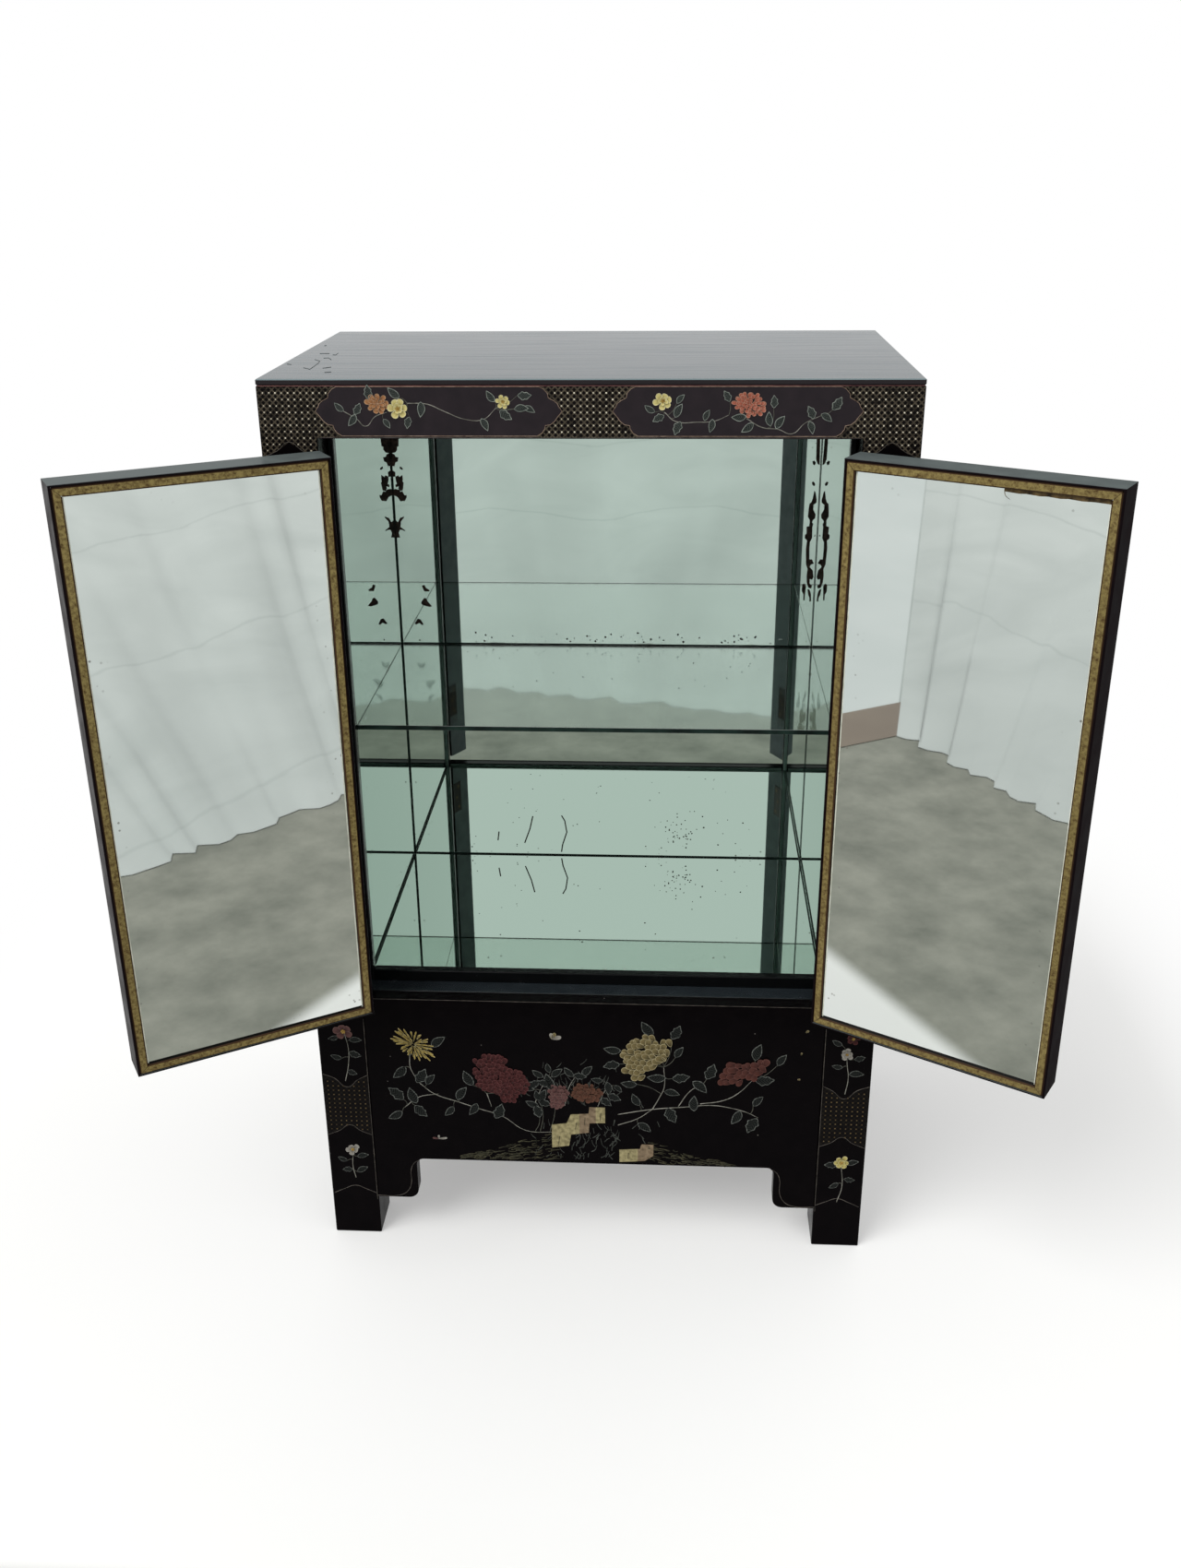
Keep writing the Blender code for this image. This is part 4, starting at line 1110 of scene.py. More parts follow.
paint_spray(
    "post_spray_right", "case", on_front,
    stems=[
        [(346, 262), (349, 288), (346, 312), (345, 327)], [(345, 78), (351, 104), (348, 142)], UPPER_STEM,
    ],
    leaves=[
        (331, 345), (363, 321), (333, 307), (360, 295), (333, 142), (364, 147), (339, 107), (361, 118),
        *UPPER_LEAVES,
    ],
    blooms=[
        ("rosette", "white", 345, 327, 18, 20, 0), ("rosette", "straw", 348, 147, 24, 22, 0),
        ("plum", "red", 352, 352, 20, 18, 0), *UPPER_BLOOMS,
    ],
    size=17, leaf_colour="grey", seed=8, line=1.2,
)


# The rockery: at the foot of the apron a stepped garden rock in cream and buff paint, a small one
# beside it, loose brush strokes for the ground, and a butterfly above. Thick paint, lightly scored.
cream_rock = paint("cream rock paint", "6a6246", "9b916b", 0.006)
buff_rock = paint("buff rock paint", "5a4c3b", "81705a", 0.006)
moss_paint = paint("moss stroke paint", "24241a", "454231", 0.012)
slate_paint = paint("slate stroke paint", "20221f", "484b46", 0.010)
ROCK_THICK = 0.0010
ROCKS = {
    "rock_foot": (cream_rock, [
        (-59, 199), (-59, 160), (-35, 164), (-32, 183), (-20, 185), (-20, 218), (-32, 217), (-38, 202),
    ]),
    "rock_middle": (buff_rock, [
        (-20, 185), (-7, 187), (-6, 203), (3, 203.5), (3, 230), (-6, 230), (-7, 219), (-20, 218),
    ]),
    "rock_head": (cream_rock, [(3, 203.5), (16, 204), (16, 230), (3, 230)]),
    "rock_small": (cream_rock, [(36, 138), (36, 159), (62, 161), (62, 140)]),
    "rock_small_buff": (buff_rock, [
        (62, 140), (62, 161), (65, 161), (67, 169), (84, 169), (84, 150), (72, 141),
    ]),
}
ROCK_ROOM = [
    [(-60, 158), (-60, 232), (24, 232), (24, 200), (-30, 184)],
    [(34, 138), (34, 170), (88, 170), (88, 138)],
]
SCORES = [
    [(-50, 166), (-48, 180)], [(9, 208), (10, 221)], [(-26, 192), (-24, 204)], [(-13, 200), (-12, 213)],
    [(48, 144), (49, 154)],
]
STROKE, SCORE = 1.3, 0.7
rocks = [
    cut_sheet(name, [outline], ROCK_THICK, on_front, finish) for name, (finish, outline) in ROCKS.items()
]
chance = random.Random(9)
# The ground rises to the rock from the left and falls away from it to the right.
strokes = []
for number in range(120):
    x = chance.uniform(-192, -58)
    z = chance.uniform(137, 139 + 0.34 * (x + 196))
    long = chance.uniform(6, 18)
    middle = (x + long / 2, z + chance.uniform(-1, 3))
    strokes.append([(x, z), middle, (x + long, z + chance.uniform(0, 4))])
for number in range(90):
    x = chance.uniform(70, 186)
    z = chance.uniform(137, 139 + 0.30 * (190 - x))
    long = chance.uniform(6, 18)
    middle = (x + long / 2, z + chance.uniform(-3, 1))
    strokes.append([(x, z), middle, (x + long, z - chance.uniform(0, 5))])
rocks.append(drawn_lines("ground_strokes", strokes, STROKE, on_front, moss_paint, taper=0.4))
# Grass grows round the rock and among the bush above it, but not across the rocks.
strokes = []
for number in range(190):
    if number < 110:
        x, z = chance.gauss(6, 44), chance.uniform(140, 200)
    else:
        x, z = chance.gauss(-26, 34), chance.gauss(262, 18)
    if not any(inside((x, z), room) for room in ROCK_ROOM):
        lean = chance.uniform(-6, 6)
        middle = (x + lean, z + chance.uniform(3, 6))
        strokes.append([(x, z), middle, (x + 1.6 * lean, z + chance.uniform(6, 12))])
rocks.append(drawn_lines("rock_strokes", strokes, STROKE, on_front, slate_paint, taper=0.5))
on_rock = on_front @ Matrix.Translation((0.0, 0.0, ROCK_THICK / 2))
rocks.append(drawn_lines("rock_scores", SCORES, SCORE, on_rock, moss_paint))
for x, z, turn, length, wide, colour in (
    (-56, 341, 15, 13, 8, "white"), (-56, 341, 100, 9, 7, "white"), (-57, 341, 60, 11, 7, "cream"),
    (-220, 170, 8, 12, 4, "white"), (-220, 170, 172, 9, 4, "pink"), (-220, 170, 90, 6, 4, "white"),
    (288, 360, 40, 5, 4, "cream"), (280, 284, 10, 4, 3, "cream"), (283, 324, 70, 4, 3, "cream"),
):
    rocks.append(place_copy(
        petal, PETALS[colour],
        on_front @ Matrix.Translation((x * MM, z * MM, 0.0))
        @ Matrix.Rotation(math.radians(turn), 4, "Z") @ Matrix.Diagonal((length * MM, wide * MM, 1.0, 1.0)),
    ))
join_pieces("apron_rockery", rocks, "case")


# The outsides of the doors and of the case: flowering branches inside a fine border line, painted
# as the front is. The photograph hides them, so their drawing is a plain guess of the usual kind.
BORDER_NOTCH, BORDER_GAP, BORDER_LINE = 14, 5, 1.2
BRANCH_ROOM, BRANCH_REACH = 18, 128
LEAF_STEP, LEAF_OFFSET = 34, 17
BRANCH = [
    [
        (-90, -325), (-70, -250), (-20, -170), (10, -80), (-10, 20), (-50, 110), (-40, 200), (10, 270),
        (48, 312),
    ],
    [(-20, -170), (40, -130), (90, -60), (108, 8)],
    [(10, -80), (-40, -40), (-95, 20), (-106, 70)],
    [(-50, 110), (-100, 170), (-108, 232)],
    [(-40, 200), (30, 180), (84, 220), (98, 262)],
    [(10, -80), (60, -20), (78, 60), (60, 118)],
]
BRANCH_BLOOMS = [
    ("peony", "coral", 108, 22, 66, 60, 20), ("peony", "cream", -106, 88, 74, 62, -30),
    ("chrysanthemum", "gold", -108, 250, 66, 54, 40), ("peony", "red", 98, 276, 62, 56, 0),
    ("rosette", "lemon", 60, 130, 44, 42, 0), ("plum", "white", 48, 318, 38, 36, 0),
    ("plum", "pink", -64, -238, 36, 34, 0), ("plum", "white", 32, -136, 34, 32, 0),
]


def leaves_along(stems, step, offset):
    """Places for leaves on alternate sides of stems, a step apart."""
    places = []
    for stem in stems:
        spots = along(stem)
        walked = 0.0
        for start, end in zip(spots, spots[1:]):
            walked += (end - start).length
            if walked >= step:
                walked = 0.0
                beside = (end - start).normalized() * offset * (1 if len(places) % 2 else -1)
                places.append((end.x - beside.y, end.y + beside.x))
    return places


def border(half_width, half_height, notch):
    """A rectangle with stepped corners, in millimetres about its middle."""
    inner_width, inner_height = half_width - notch, half_height - notch
    corner = [(half_width, inner_height), (inner_width, inner_height), (inner_width, half_height)]
    quarter = corner + flipped(corner[::-1])
    return quarter + [(-x, -z) for x, z in quarter]


def painted_panel(name, body, face, half_width, half_height, seed, flip):
    """A bordered panel with one flowering branch, mirrored where flip is -1."""
    lines = [border(half_width - gap, half_height - gap, BORDER_NOTCH) for gap in (0, BORDER_GAP)]
    drawn = drawn_lines(f"{name}_border", lines, BORDER_LINE, face, rose_gold, closed=True, smooth=False)
    join_pieces(f"{name}_border", [drawn], body)
    grow = min(1.0, (half_width - BRANCH_ROOM) / BRANCH_REACH)
    stems = [[(x * flip * grow, z) for x, z in stem] for stem in BRANCH]
    blooms = [
        (kind, colour, x * flip * grow, z, long, high, turn * flip)
        for kind, colour, x, z, long, high, turn in BRANCH_BLOOMS
    ]
    paint_spray(
        f"{name}_spray", body, face, stems, leaves_along(stems, LEAF_STEP, LEAF_OFFSET), blooms,
        size=30, leaf_colour="grey", seed=seed, line=1.8,
    )


DOOR_MIDDLE, DOOR_HALF_WIDTH, DOOR_HALF_HEIGHT = (0.15625, 0.772), 154.2, 368.5
DOOR_AXIS, DOOR_AXIS_OUT = 0.31175, 0.0030
DOOR_MARGIN, SIDE_MARGIN = 16, 22
DOOR_SEED, SIDE_SEED = 20, 30
hinged = {}
for side, sign in SIDES:
    pivot = Matrix.Translation((sign * DOOR_AXIS, front - DOOR_AXIS_OUT, 0.0))
    hinged[side] = pivot @ Matrix.Rotation(OPEN[side], 4, "Z") @ pivot.inverted()
    place = Matrix.Translation((sign * DOOR_MIDDLE[0], front, DOOR_MIDDLE[1]))
    painted_panel(
        f"door_{side}_outside", BODY[side], hinged[side] @ place @ UPRIGHT,
        DOOR_HALF_WIDTH - DOOR_MARGIN, DOOR_HALF_HEIGHT - DOOR_MARGIN, DOOR_SEED + sign, sign,
    )
for side, sign in SIDES:
    low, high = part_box(f"side_panel_{side}")
    face_x = low[0] if side == "left" else high[0]
    middle = Matrix.Translation((face_x, (low[1] + high[1]) / 2, (low[2] + high[2]) / 2))
    outside = middle @ Matrix.Rotation(math.radians(90 * sign), 4, "Z") @ UPRIGHT
    half_width, half_height = ((high[axis] - low[axis]) / 2 / MM - SIDE_MARGIN for axis in (1, 2))
    painted_panel(
        f"side_{side}_outside", "case", outside, half_width, half_height, SIDE_SEED + sign, sign
    )


# The hinge screws: three countersunk brass screws hold each hinge leaf, their slotted heads level
# with the plate but for a hair. They ride with the leaf that they hold, so the doors still close.
SCREW_RADIUS, SCREW_SLOT, SCREW_THICK, ARC_STEPS = 2.9, 0.35, 0.00024, 8
# Each head's place across the leaf and along the pin in mm, and the turn of its slot in degrees.
SCREW_PLACES = [(15.0, -21.0, 20.0), (9.5, 0.0, 75.0), (15.0, 21.0, 130.0)]
LEAF_GAP = 0.00025


def screw_heads(height):
    """Outlines of one leaf's slotted heads, in two halves each, about the hinge's middle height."""
    start = math.asin(SCREW_SLOT / SCREW_RADIUS)
    arc = [start + (math.pi - 2 * start) * step / ARC_STEPS for step in range(ARC_STEPS + 1)]
    halves = []
    for depth, up, slot in SCREW_PLACES:
        for turn in (math.radians(slot), math.radians(slot) + math.pi):
            across = [depth + SCREW_RADIUS * math.cos(turn + angle) for angle in arc]
            along_pin = [height + up + SCREW_RADIUS * math.sin(turn + angle) for angle in arc]
            halves.append(list(zip(across, along_pin)))
    return halves


screw_brass = aged_brass("worn brass of the hinge screws", "6b5630", "2a2013")
case_screws = []
for side, sign in SIDES:
    heads = []
    for level in ("lower", "upper"):
        low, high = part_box(f"hinge_{side}_{level}_case_leaf")
        heads += screw_heads((low[2] + high[2]) / 2 / MM)
    for body, offset, swing in (("case", LEAF_GAP, Matrix()), (BODY[side], -LEAF_GAP, hinged[side])):
        plate = swing @ Matrix.Translation((sign * (DOOR_AXIS + offset), front, 0.0))
        plate = plate @ Matrix.Rotation(math.radians(90), 4, "Z") @ UPRIGHT
        screws = cut_sheet("screw_heads", heads, SCREW_THICK, plate, screw_brass)
        if body == "case":
            case_screws.append(screws)
        else:
            join_pieces(f"hinge_{side}_door_screws", [screws], body)
join_pieces("hinge_case_screws", case_screws, "case")


# The door mirrors' edges: a pale line is painted on the glass beside the strips, a painted highlight
# where light catches its ground edge, and brown filler closes the mitres. At the head of the right door
# the silver has gone brown beside a small chip.
GLASS_DEPTH = 0.0408
STRIP_INSET, LINE_INSET, LINE_THICK = 13.6, 15.0, 0.0004
MITRE_START, MITRE_END, MITRE_RISE, MITRE_WIDTH = 4.4, 12.0, 0.0041, 0.9
BROWN_THICK, CHIP_WIDTH = 0.0006, 0.9
# The brown edge and the chip, as places across the door and drops below the head of the glass.
BROWN_EDGE = [
    (28, 0.0), (28, 3.6), (44, 4.4), (52, 3.8), (66, 4.6), (75, 4.0), (88, 4.8), (96, 4.0), (110, 4.8),
    (124, 4.2), (140.4, 4.6), (140.4, 0.0),
]
CHIP = [(28.4, 3.4), (29.6, 7.6), (32.4, 10.0), (35.0, 11.6)]


def strip(left, low, right, high):
    """A rectangle between two corners."""
    return [(left, low), (right, low), (right, high), (left, high)]


painted_glint = paint("painted glint on the ground edge of the glass", "d2d3c0", "f2f3e4", 0.010)
browned = paint("browned silvering", "2b2116", "6a5738", 0.008)
head = DOOR_HALF_HEIGHT - STRIP_INSET
far, near = (DOOR_HALF_WIDTH - inset for inset in (STRIP_INSET, LINE_INSET))
glint_lines = [strip(-far, -head, -near, head), strip(near, -head, far, head)]
mitres = []
for inset in (MITRE_START, MITRE_END):
    wide, tall = DOOR_HALF_WIDTH - inset, DOOR_HALF_HEIGHT - inset
    mitres.append(strip(-wide, -tall, wide, tall))
for side, sign in SIDES:
    place = Matrix.Translation((sign * DOOR_MIDDLE[0], front + GLASS_DEPTH, DOOR_MIDDLE[1]))
    within = hinged[side] @ place @ Matrix.Rotation(math.pi, 4, "Z") @ UPRIGHT
    raised = within @ Matrix.Translation((0.0, 0.0, MITRE_RISE))
    marks = [
        cut_sheet("glass_line", glint_lines, LINE_THICK, within, painted_glint),
        drawn_lines("mitre_lines", list(zip(*mitres)), MITRE_WIDTH, raised, browned, smooth=False),
    ]
    if side == "right":
        ragged, chip = ([(x, head - drop) for x, drop in line] for line in (BROWN_EDGE, CHIP))
        marks.append(cut_sheet("lost_silver", [ragged], BROWN_THICK, within, browned))
        marks.append(drawn_lines("chip_line", [chip], CHIP_WIDTH, within, browned, taper=0.5))
    join_pieces(f"door_{side}_glass_marks", marks, BODY[side])


# The loss of silver: beside the corners the silvering of the back mirror has flaked to brown and
# black, with loose specks and scratches by the joints, where the panes meet in dark green seams.
glass_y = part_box("back_mirror_upper")[0][1]
floor_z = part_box("floor_mirror")[1][2]
on_back = Matrix.Translation((0.0, glass_y, 0.0)) @ UPRIGHT
on_floor = Matrix.Translation((0.0, 0.0, floor_z))
flaked = paint("flaked silvering", "120f0d", "3a2c25", 0.006)
seam_paint = paint("dark green seam of the panes", "0a1512", "1d302a", 0.030)
FLAKE_THICK, SCRATCH = 0.0003, 2.0
PANE_EDGE = 309.4
flakes = [
    [
        (-309.4, 1112), (-296, 1112), (-295.5, 1090), (-297.3, 1065), (-299.7, 1064), (-299.6, 1060),
        (-302.6, 1056), (-307.8, 1055), (-303.5, 1053), (-302.9, 1050), (-298.6, 1049), (-299.8, 1043),
        (-303, 1042), (-304.5, 1037), (-309.4, 1036),
    ],
    [(-309.4, 1031), (-307, 1029.5), (-304.3, 1027.7), (-304.5, 1021), (-307.5, 1021), (-309.4, 1023)],
    [(-297, 1036), (-294.2, 1034.6), (-292.6, 1031.5), (-295, 1031), (-297.6, 1033)],
    [
        (-304.7, 1021), (-300.2, 1023), (-298.8, 1020.5), (-294.2, 1023.6), (-293.8, 1018),
        (-294.4, 1014), (-293, 1012), (-294.8, 1001), (-299.2, 1000), (-301.4, 1004), (-300.4, 1007),
        (-304.9, 1005.5), (-305.5, 1009), (-303, 1010.6), (-304.3, 1015),
    ],
    [
        (-309.4, 1000), (-306.6, 1003.4), (-300.7, 1002), (-298.5, 999), (-295.6, 1000), (-292.8, 994),
        (-289.6, 994), (-289.8, 991), (-292.5, 985.6), (-299.3, 985), (-303, 991), (-308.4, 994),
        (-309.4, 995.5),
    ],
    [
        (-309.4, 957), (-307.9, 957), (-304.9, 954), (-301.7, 960), (-295.5, 962.7), (-295.6, 960.7),
        (-300.4, 955), (-301.5, 947), (-299, 945), (-294.7, 941.7), (-295.2, 940.5), (-299.5, 942.5),
        (-302.8, 942.5), (-304.7, 937.8), (-303, 931), (-309.4, 930.7),
    ],
    [
        (-274.7, 858), (-270.5, 859), (-269, 854.6), (-263.2, 851), (-264.3, 849), (-271.5, 849),
        (-273.3, 853.5),
    ],
    [
        (-276.4, 833.5), (-272, 839), (-268.4, 837.4), (-267.4, 833.6), (-260.8, 826), (-265.6, 825),
        (-274.7, 827.7), (-277, 829.7),
    ],
    [
        (-288.6, 799), (-283.7, 806.4), (-279.2, 805), (-275.3, 797.5), (-277.4, 796), (-281.6, 799.6),
        (-286.7, 797),
    ],
    [(301, 1112), (305.5, 1112), (307.8, 1039), (304.5, 1041), (302.2, 1047.6)],
    [(297.2, 1044.7), (299.8, 1045.6), (302.3, 1042.8), (300.9, 1039), (298.2, 1040)],
    [(297.9, 1014.7), (300.6, 1015.7), (303, 1011.8), (301.7, 1009), (298.9, 1010.8)],
    [
        (302, 1002), (303.7, 1001), (306.2, 989), (306, 985.4), (301.6, 981.4), (302.3, 974.5),
        (305.8, 967.6), (305.3, 962.6), (302.3, 959.6), (301.3, 956.7), (303, 953.7), (302, 949.7),
        (302.4, 933.7), (301, 929.7), (299.6, 927.7), (299.3, 917.6), (300, 901.4), (303.9, 901.4),
        (306.8, 895.4), (302.5, 893.3), (301, 890), (305.7, 885), (307.4, 875), (305.6, 870.8),
        (302, 871.8), (302.4, 864.6), (306, 861.6), (305, 857.5), (300.7, 858.5), (297.9, 866.7),
        (297.2, 877), (298, 887), (295.4, 894), (294.2, 917.6), (295.2, 929.7), (291.9, 932.6),
        (291.7, 937.7), (294, 939.7), (293.4, 949.7), (297.3, 950.7), (297.6, 959.6), (294.6, 964.6),
        (295.2, 975.5), (296, 983.4), (298.6, 985.7), (300.3, 991),
    ],
    [
        (291.3, 863.5), (294.8, 865), (297, 860.5), (296.4, 849), (296, 838.8), (294, 839.8), (294, 848),
        (291.4, 853),
    ],
    [(299.6, 856.5), (302.3, 856), (304.7, 850), (305.7, 838), (303, 837.4), (303, 843), (300.8, 848)],
]


def fleck(x, y, radius):
    """A small ragged spot of lost silver."""
    return [
        (
            x + radius * chance.uniform(0.6, 1.2) * math.cos(turn),
            y + radius * chance.uniform(0.6, 1.2) * math.sin(turn),
        )
        for turn in (0.0, 1.05, 2.1, 3.14, 4.2, 5.24)
    ]


# Loose specks lie along the shelf, below it, by a worn place to the right, and along the floor.
for number in range(50):
    flakes.append(fleck(chance.gauss(20, 130), 772 + abs(chance.gauss(0, 7)), chance.uniform(0.7, 2.1)))
for number in range(26):
    flakes.append(fleck(chance.uniform(-250, 250), chance.uniform(690, 760), chance.uniform(0.6, 1.4)))
for number in range(44):
    flakes.append(fleck(chance.gauss(118, 18), chance.gauss(452, 18), chance.uniform(0.5, 1.5)))
for number in range(24):
    flakes.append(fleck(chance.uniform(-220, 230), chance.uniform(418, 480), chance.uniform(0.6, 1.5)))
floor_flakes = [
    fleck(chance.uniform(-190, 220), chance.uniform(-40, 130), chance.uniform(0.6, 1.7))
    for number in range(24)
]
scratches = [
    [(-117, 480), (-122, 458), (-131, 433)], [(-172, 452), (-174, 437)],
    [(-71, 482), (-66, 473), (-63, 453), (-70, 431), (-72, 418)],
]
shelf_low, shelf_high = (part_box("glass_shelf")[end][2] / MM for end in (0, 1))
back = glass_y / MM
shelf_edge = strip(-PANE_EDGE, shelf_low + 0.4, PANE_EDGE, shelf_high - 0.4)
# The seams run down both sides, above and below the shelf and round the floor.
back_seams = [
    strip(-PANE_EDGE, 413, -PANE_EDGE + 1.6, 1110), strip(PANE_EDGE - 0.9, 413, PANE_EDGE, 1110),
    strip(-PANE_EDGE + 2, shelf_high + 0.4, PANE_EDGE - 2, shelf_high + 2.0),
    strip(-PANE_EDGE + 2, shelf_low - 2.0, PANE_EDGE - 2, shelf_low - 0.4),
    strip(-PANE_EDGE + 2, 412.6, PANE_EDGE - 2, 414.2),
]
floor_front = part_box("floor_mirror")[0][1] / MM + 1.0
floor_seams = [
    strip(-PANE_EDGE + 0.2, floor_front, -PANE_EDGE + 2.6, back - 4.0),
    strip(PANE_EDGE - 2.6, floor_front, PANE_EDGE - 0.2, back - 4.0),
    strip(-PANE_EDGE + 0.2, back - 2.6, PANE_EDGE - 0.2, back - 0.6),
]
on_shelf = Matrix.Translation((0.0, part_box("glass_shelf")[0][1], 0.0)) @ UPRIGHT
marks = [
    cut_sheet("shelf_edge", [shelf_edge], FLAKE_THICK, on_shelf, seam_paint),
    cut_sheet("back_flakes", flakes, FLAKE_THICK, on_back, flaked),
    cut_sheet("floor_flakes", floor_flakes, FLAKE_THICK, on_floor, flaked),
    drawn_lines("back_scratches", scratches, SCRATCH, on_back, flaked, smooth=False),
    cut_sheet("back_seams", back_seams, FLAKE_THICK, on_back, seam_paint),
    cut_sheet("floor_seams", floor_seams, FLAKE_THICK, on_floor, seam_paint),
]
join_pieces("silver_loss", marks, "case")


# The studio: a plain pale floor, and in front of the cabinet, out of the picture, a grey patch, a pale
# cloth and a bit of wall for the mirrors to show. Soft light from all round, a sun from the front left.
CAMERA_PLACE = (0.0975, -1.8391, 1.4642)
CAMERA_PITCH, CAMERA_YAW, CAMERA_ROLL = (math.radians(angle) for angle in (23.4597, -3.2714, -0.5269))
CAMERA_LENS, CAMERA_FILM, CAMERA_NEAR = 33.911, 36.0, 0.05
SUN_PLACE, SUN_TARGET, SUN_SPREAD, SUN_STRENGTH = (-3.4, -3.2, 5.6), (0.0, 0.0, 0.5), 35, 1.9
SKY_LIGHT = 0.80
FLOOR_SIZE = 40.0
PATCH_START, PATCH_FULL, PICTURE_FLOOR = -0.69, -0.74, -0.60
SHADOW_LIFT = 0.32


def seen_directly(tree):
    """Whether a ray comes from the camera, a mirror or glass, as a node that gives 0 or 1."""
    light = add_node(tree, "ShaderNodeLightPath", {})
    rays = [light.outputs[f"Is {kind} Ray"] for kind in ("Camera", "Glossy", "Transmission")]
    seen = add_node(tree, "ShaderNodeMath", {0: rays[0], 1: rays[1]}, operation="ADD")
    return add_node(tree, "ShaderNodeMath", {0: seen, 1: rays[2]}, operation="ADD", use_clamp=True)


def studio_floor():
    """Matt white paper, with a grey concrete patch in front that only the mirrors look down on."""
    made, tree, shader, place = begin_finish("pale studio floor", 0.9)
    plug(shader, {"Specular IOR Level": 0.0})
    split = add_node(tree, "ShaderNodeSeparateXYZ", {0: place})
    near = add_node(
        tree, "ShaderNodeMapRange",
        {"Value": split.outputs["Y"], "From Min": PATCH_START, "From Max": PATCH_FULL},
        interpolation_type="SMOOTHSTEP",
    )
    wide = add_node(tree, "ShaderNodeMath", {0: split.outputs["X"]}, operation="ABSOLUTE")
    beside = add_node(
        tree, "ShaderNodeMapRange",
        {"Value": wide, "From Min": 2.0, "From Max": 3.0, "To Min": 1.0, "To Max": 0.0},
        interpolation_type="SMOOTHSTEP",
    )
    patch = add_node(tree, "ShaderNodeMath", {0: near, 1: beside}, operation="MULTIPLY")
    cloud = add_node(
        tree, "ShaderNodeTexNoise", {"Vector": place, "Scale": 7.0, "Detail": 9.0, "Roughness": 0.62}
    )
    mottle = add_node(tree, "ShaderNodeMapRange", {"Value": cloud, "From Min": 0.28, "From Max": 0.72})
    grey = add_node(
        tree, "ShaderNodeMix", {0: mottle, 6: linear("7c7e76"), 7: linear("a3a399")}, data_type="RGBA"
    )
    colour = add_node(tree, "ShaderNodeMix", {0: patch, 6: linear("f1f1ef"), 7: grey}, data_type="RGBA")
    plug(shader, {"Base Color": colour})
    back = add_node(
        tree, "ShaderNodeMapRange", {"Value": split.outputs["Y"], "From Min": 0.3, "From Max": 1.6},
        interpolation_type="SMOOTHSTEP",
    )
    sides = add_node(
        tree, "ShaderNodeMapRange", {"Value": wide, "From Min": 0.72, "From Max": 1.25},
        interpolation_type="SMOOTHSTEP",
    )
    far = add_node(tree, "ShaderNodeMath", {0: back, 1: sides}, operation="MAXIMUM")
    behind = add_node(
        tree, "ShaderNodeMapRange",
        {"Value": split.outputs["Y"], "From Min": PATCH_START, "From Max": PICTURE_FLOOR},
    )
    far = add_node(tree, "ShaderNodeMath", {0: far, 1: behind}, operation="MULTIPLY")
    seen = seen_directly(tree)
    # Near the cabinet the floor also glows white at SHADOW_LIFT strength where the camera or a mirror sees
    # it, which lightens the object's cast shadow: painted light.
    lit = add_node(tree, "ShaderNodeMapRange", {"Value": behind, "To Min": 0.0, "To Max": SHADOW_LIFT})
    far = add_node(tree, "ShaderNodeMath", {0: far, 1: lit}, operation="MAXIMUM")
    glow = add_node(tree, "ShaderNodeMath", {0: seen, 1: far}, operation="MULTIPLY")
    white = add_node(tree, "ShaderNodeEmission", {"Strength": 1.0})
    both = add_node(tree, "ShaderNodeMixShader", {0: glow, 1: shader, 2: white})
    plug(tree.nodes["Material Output"], {"Surface": both})
    return made


def cotton_sheet():
    """A pale cotton sheet, a little paler further off, its folds shaded in paint and its creases painted as
    darker lines 720 mm apart.
    """
    made, tree, shader, place = begin_finish("pale cotton sheet", 0.95)
    plug(shader, {"Specular IOR Level": 0.0})
    # This noise shades the folds in paint, paler and darker.
    fold_shading = add_node(
        tree, "ShaderNodeTexNoise", {"Vector": place, "Scale": 2.2, "Detail": 5.0, "Distortion": 1.2}
    )
    split = add_node(tree, "ShaderNodeSeparateXYZ", {0: place})
    far = add_node(
        tree, "ShaderNodeMapRange",
        {"Value": split.outputs["Y"], "From Min": -1.8, "From Max": -3.2, "To Min": -0.28, "To Max": 0.28},
    )
    pale = add_node(tree, "ShaderNodeMath", {0: fold_shading, 1: far}, operation="ADD")
    colour = add_node(
        tree, "ShaderNodeMix", {0: pale, 6: linear("bfc4c2"), 7: linear("dbdfdd")}, data_type="RGBA"
    )
    # The crease lines are darker: painted shade in the creases.
    row = add_node(
        tree, "ShaderNodeMath", {0: fold_shading, 1: 0.10, 2: split.outputs["Y"]}, operation="MULTIPLY_ADD"
    )
    shaded_crease = add_node(tree, "ShaderNodeMath", {0: row, 1: 0.36}, operation="PINGPONG")
    line = add_node(
        tree, "ShaderNodeMapRange",
        {"Value": shaded_crease, "From Min": 0.002, "From Max": 0.010, "To Min": 0.35, "To Max": 0.0},
    )
    colour = add_node(tree, "ShaderNodeMix", {0: line, 6: colour, 7: linear("b0b6b4")}, data_type="RGBA")
    plug(shader, {"Base Color": colour})
    return made


bpy.ops.object.select_all(action="DESELECT")
bpy.ops.mesh.primitive_plane_add(size=FLOOR_SIZE)
floor = bpy.context.object
floor.name = "studio_floor"
floor.data.materials.append(studio_floor())

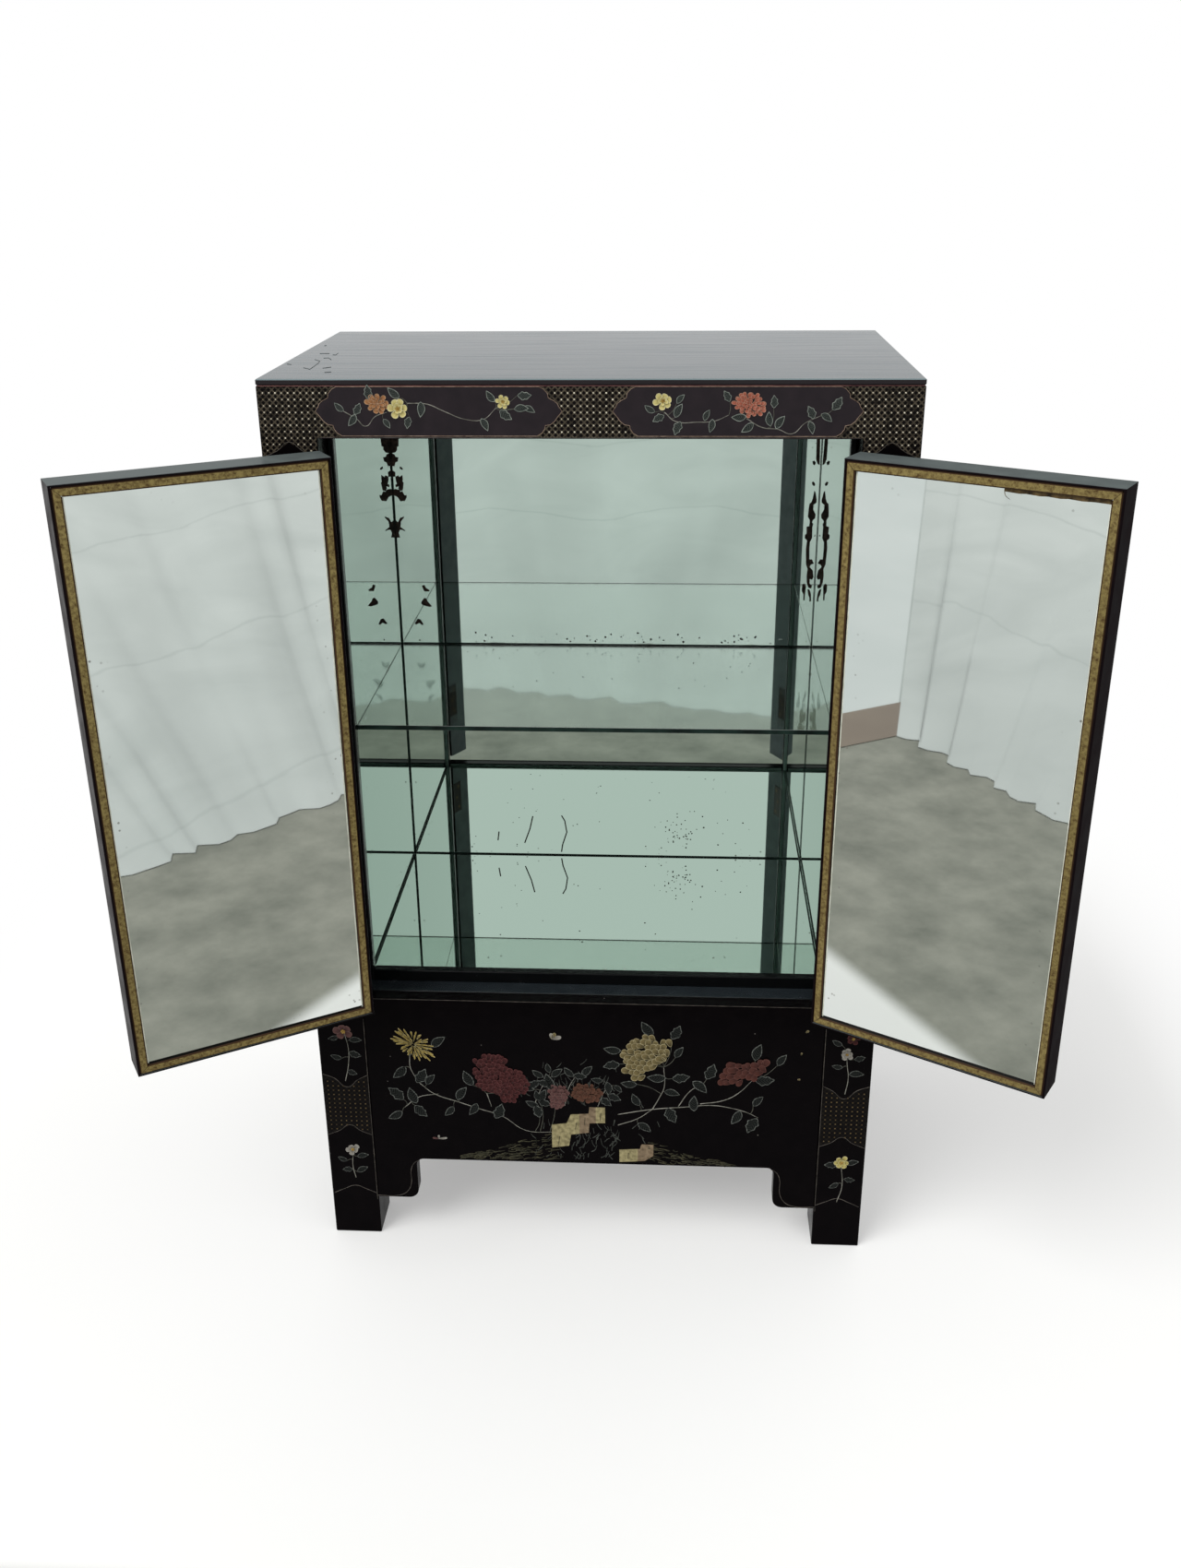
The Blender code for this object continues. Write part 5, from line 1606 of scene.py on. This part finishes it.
# The cloth fans out from its hem in metres, and left of the wall's start it becomes wall and skirting.
WALL_START, WALL_SEAM, WALL_RUN, SKIRTING = -1.30, 0.012, 0.75, 0.15
CLOTH_EDGE, CLOTH_DEPTH, CLOTH_WIDTH, CLOTH_RISE, CLOTH_LIFT = -1.50, 4.0, 5.0, 0.75, 0.002
CLOTH_LEAN, CLOTH_NEAR, CLOTH_FOLD, CLOTH_SPREAD = 0.235, -0.03, 0.016, 0.94
BEND_START, BEND_RUN, HUNG_RUN, FOLD_RUN = -0.52, 0.14, 0.06, 0.4
TEAR, TEAR_DEPTH = 0.030, 0.045
WALL, BOARD, SEAM = 1, 2, 3
bpy.ops.object.select_all(action="DESELECT")
bpy.ops.mesh.primitive_grid_add(x_subdivisions=500, y_subdivisions=80, size=1.0)
cloth = bpy.context.object
cloth.name = "studio_cloth"
tears = [TEAR_DEPTH * chance.random() ** 3 for cell in range(int(CLOTH_WIDTH / TEAR) + 2)]
for polygon in cloth.data.polygons:
    fan = polygon.center.x * CLOTH_WIDTH
    if fan < WALL_START:
        low = (0.5 - polygon.center.y) * CLOTH_DEPTH < SKIRTING
        polygon.material_index = BOARD if low else SEAM if fan > WALL_START - WALL_SEAM else WALL
for vertex in cloth.data.vertices:
    fan = vertex.co.x * CLOTH_WIDTH
    depth = (0.5 - vertex.co.y) * CLOTH_DEPTH
    swell = fan * 12.0 + 2.0 * math.sin(fan * 4.1) + 0.8 * math.sin(depth * 2.2)
    ripple = fan * 23.0 + 1.0 + math.sin(depth * 3.0)
    fold = math.sin(swell) + 0.5 * math.sin(ripple)
    hung = min(1.0, max(0.0, (fan - WALL_START) / HUNG_RUN))
    wall = max(0.0, WALL_START - fan)
    rise = CLOTH_RISE * (depth / CLOTH_DEPTH) ** 1.3
    height = rise + hung * CLOTH_FOLD * (1.5 + fold) * min(1.0, depth / FOLD_RUN) + CLOTH_LIFT
    cell = (fan + CLOTH_WIDTH / 2) / TEAR
    torn = tears[int(cell)] + (tears[int(cell) + 1] - tears[int(cell)]) * (cell % 1.0)
    bend = min(1.0, max(0.0, (BEND_START - fan) / BEND_RUN))
    lean = CLOTH_LEAN * max(fan, BEND_START) * (1.0 - bend)
    edge = CLOTH_EDGE - hung * torn + lean + CLOTH_NEAR * bend
    across = max(fan, WALL_START) * (1.0 + CLOTH_SPREAD * depth)
    vertex.co = (across, edge + WALL_RUN * wall - depth, height)
bpy.ops.object.shade_smooth()
for finish in (
    cotton_sheet(),
    paint("plain wall paint", "c4cac9", "cdd2d1", 0.5),
    paint("brown skirting paint", "75675a", "827465", 0.3),
    paint("shaded seam of the wall", "a4aaa8", "afb5b3", 0.3),
):
    cloth.data.materials.append(finish)

world = bpy.data.worlds.new("studio light")
bpy.context.scene.world = world
world.use_nodes = True
sky = world.node_tree
level = add_node(
    sky, "ShaderNodeMapRange", {"Value": seen_directly(sky), "To Min": SKY_LIGHT, "To Max": 1.0}
)
plug(sky.nodes["Background"], {"Color": linear("ffffff"), "Strength": level})

bpy.ops.object.light_add(type="SUN", location=SUN_PLACE)
key = bpy.context.object
key.data.angle = math.radians(SUN_SPREAD)
key.data.energy = SUN_STRENGTH
key.rotation_euler = (Vector(SUN_TARGET) - key.location).to_track_quat("-Z", "Y").to_euler()

bpy.ops.object.camera_add()
camera = bpy.context.object
camera.data.lens = CAMERA_LENS
camera.data.sensor_width = CAMERA_FILM
camera.data.clip_start = CAMERA_NEAR
camera.matrix_world = (
    Matrix.Translation(CAMERA_PLACE)
    @ Matrix.Rotation(-CAMERA_YAW, 4, "Z")
    @ Matrix.Rotation(math.radians(90) - CAMERA_PITCH, 4, "X")
    @ Matrix.Rotation(CAMERA_ROLL, 4, "Z")
)
bpy.context.scene.camera = camera
bpy.context.scene.view_settings.view_transform = "Standard"

for template in (leaf, lobed_leaf, petal):
    bpy.data.objects.remove(template)
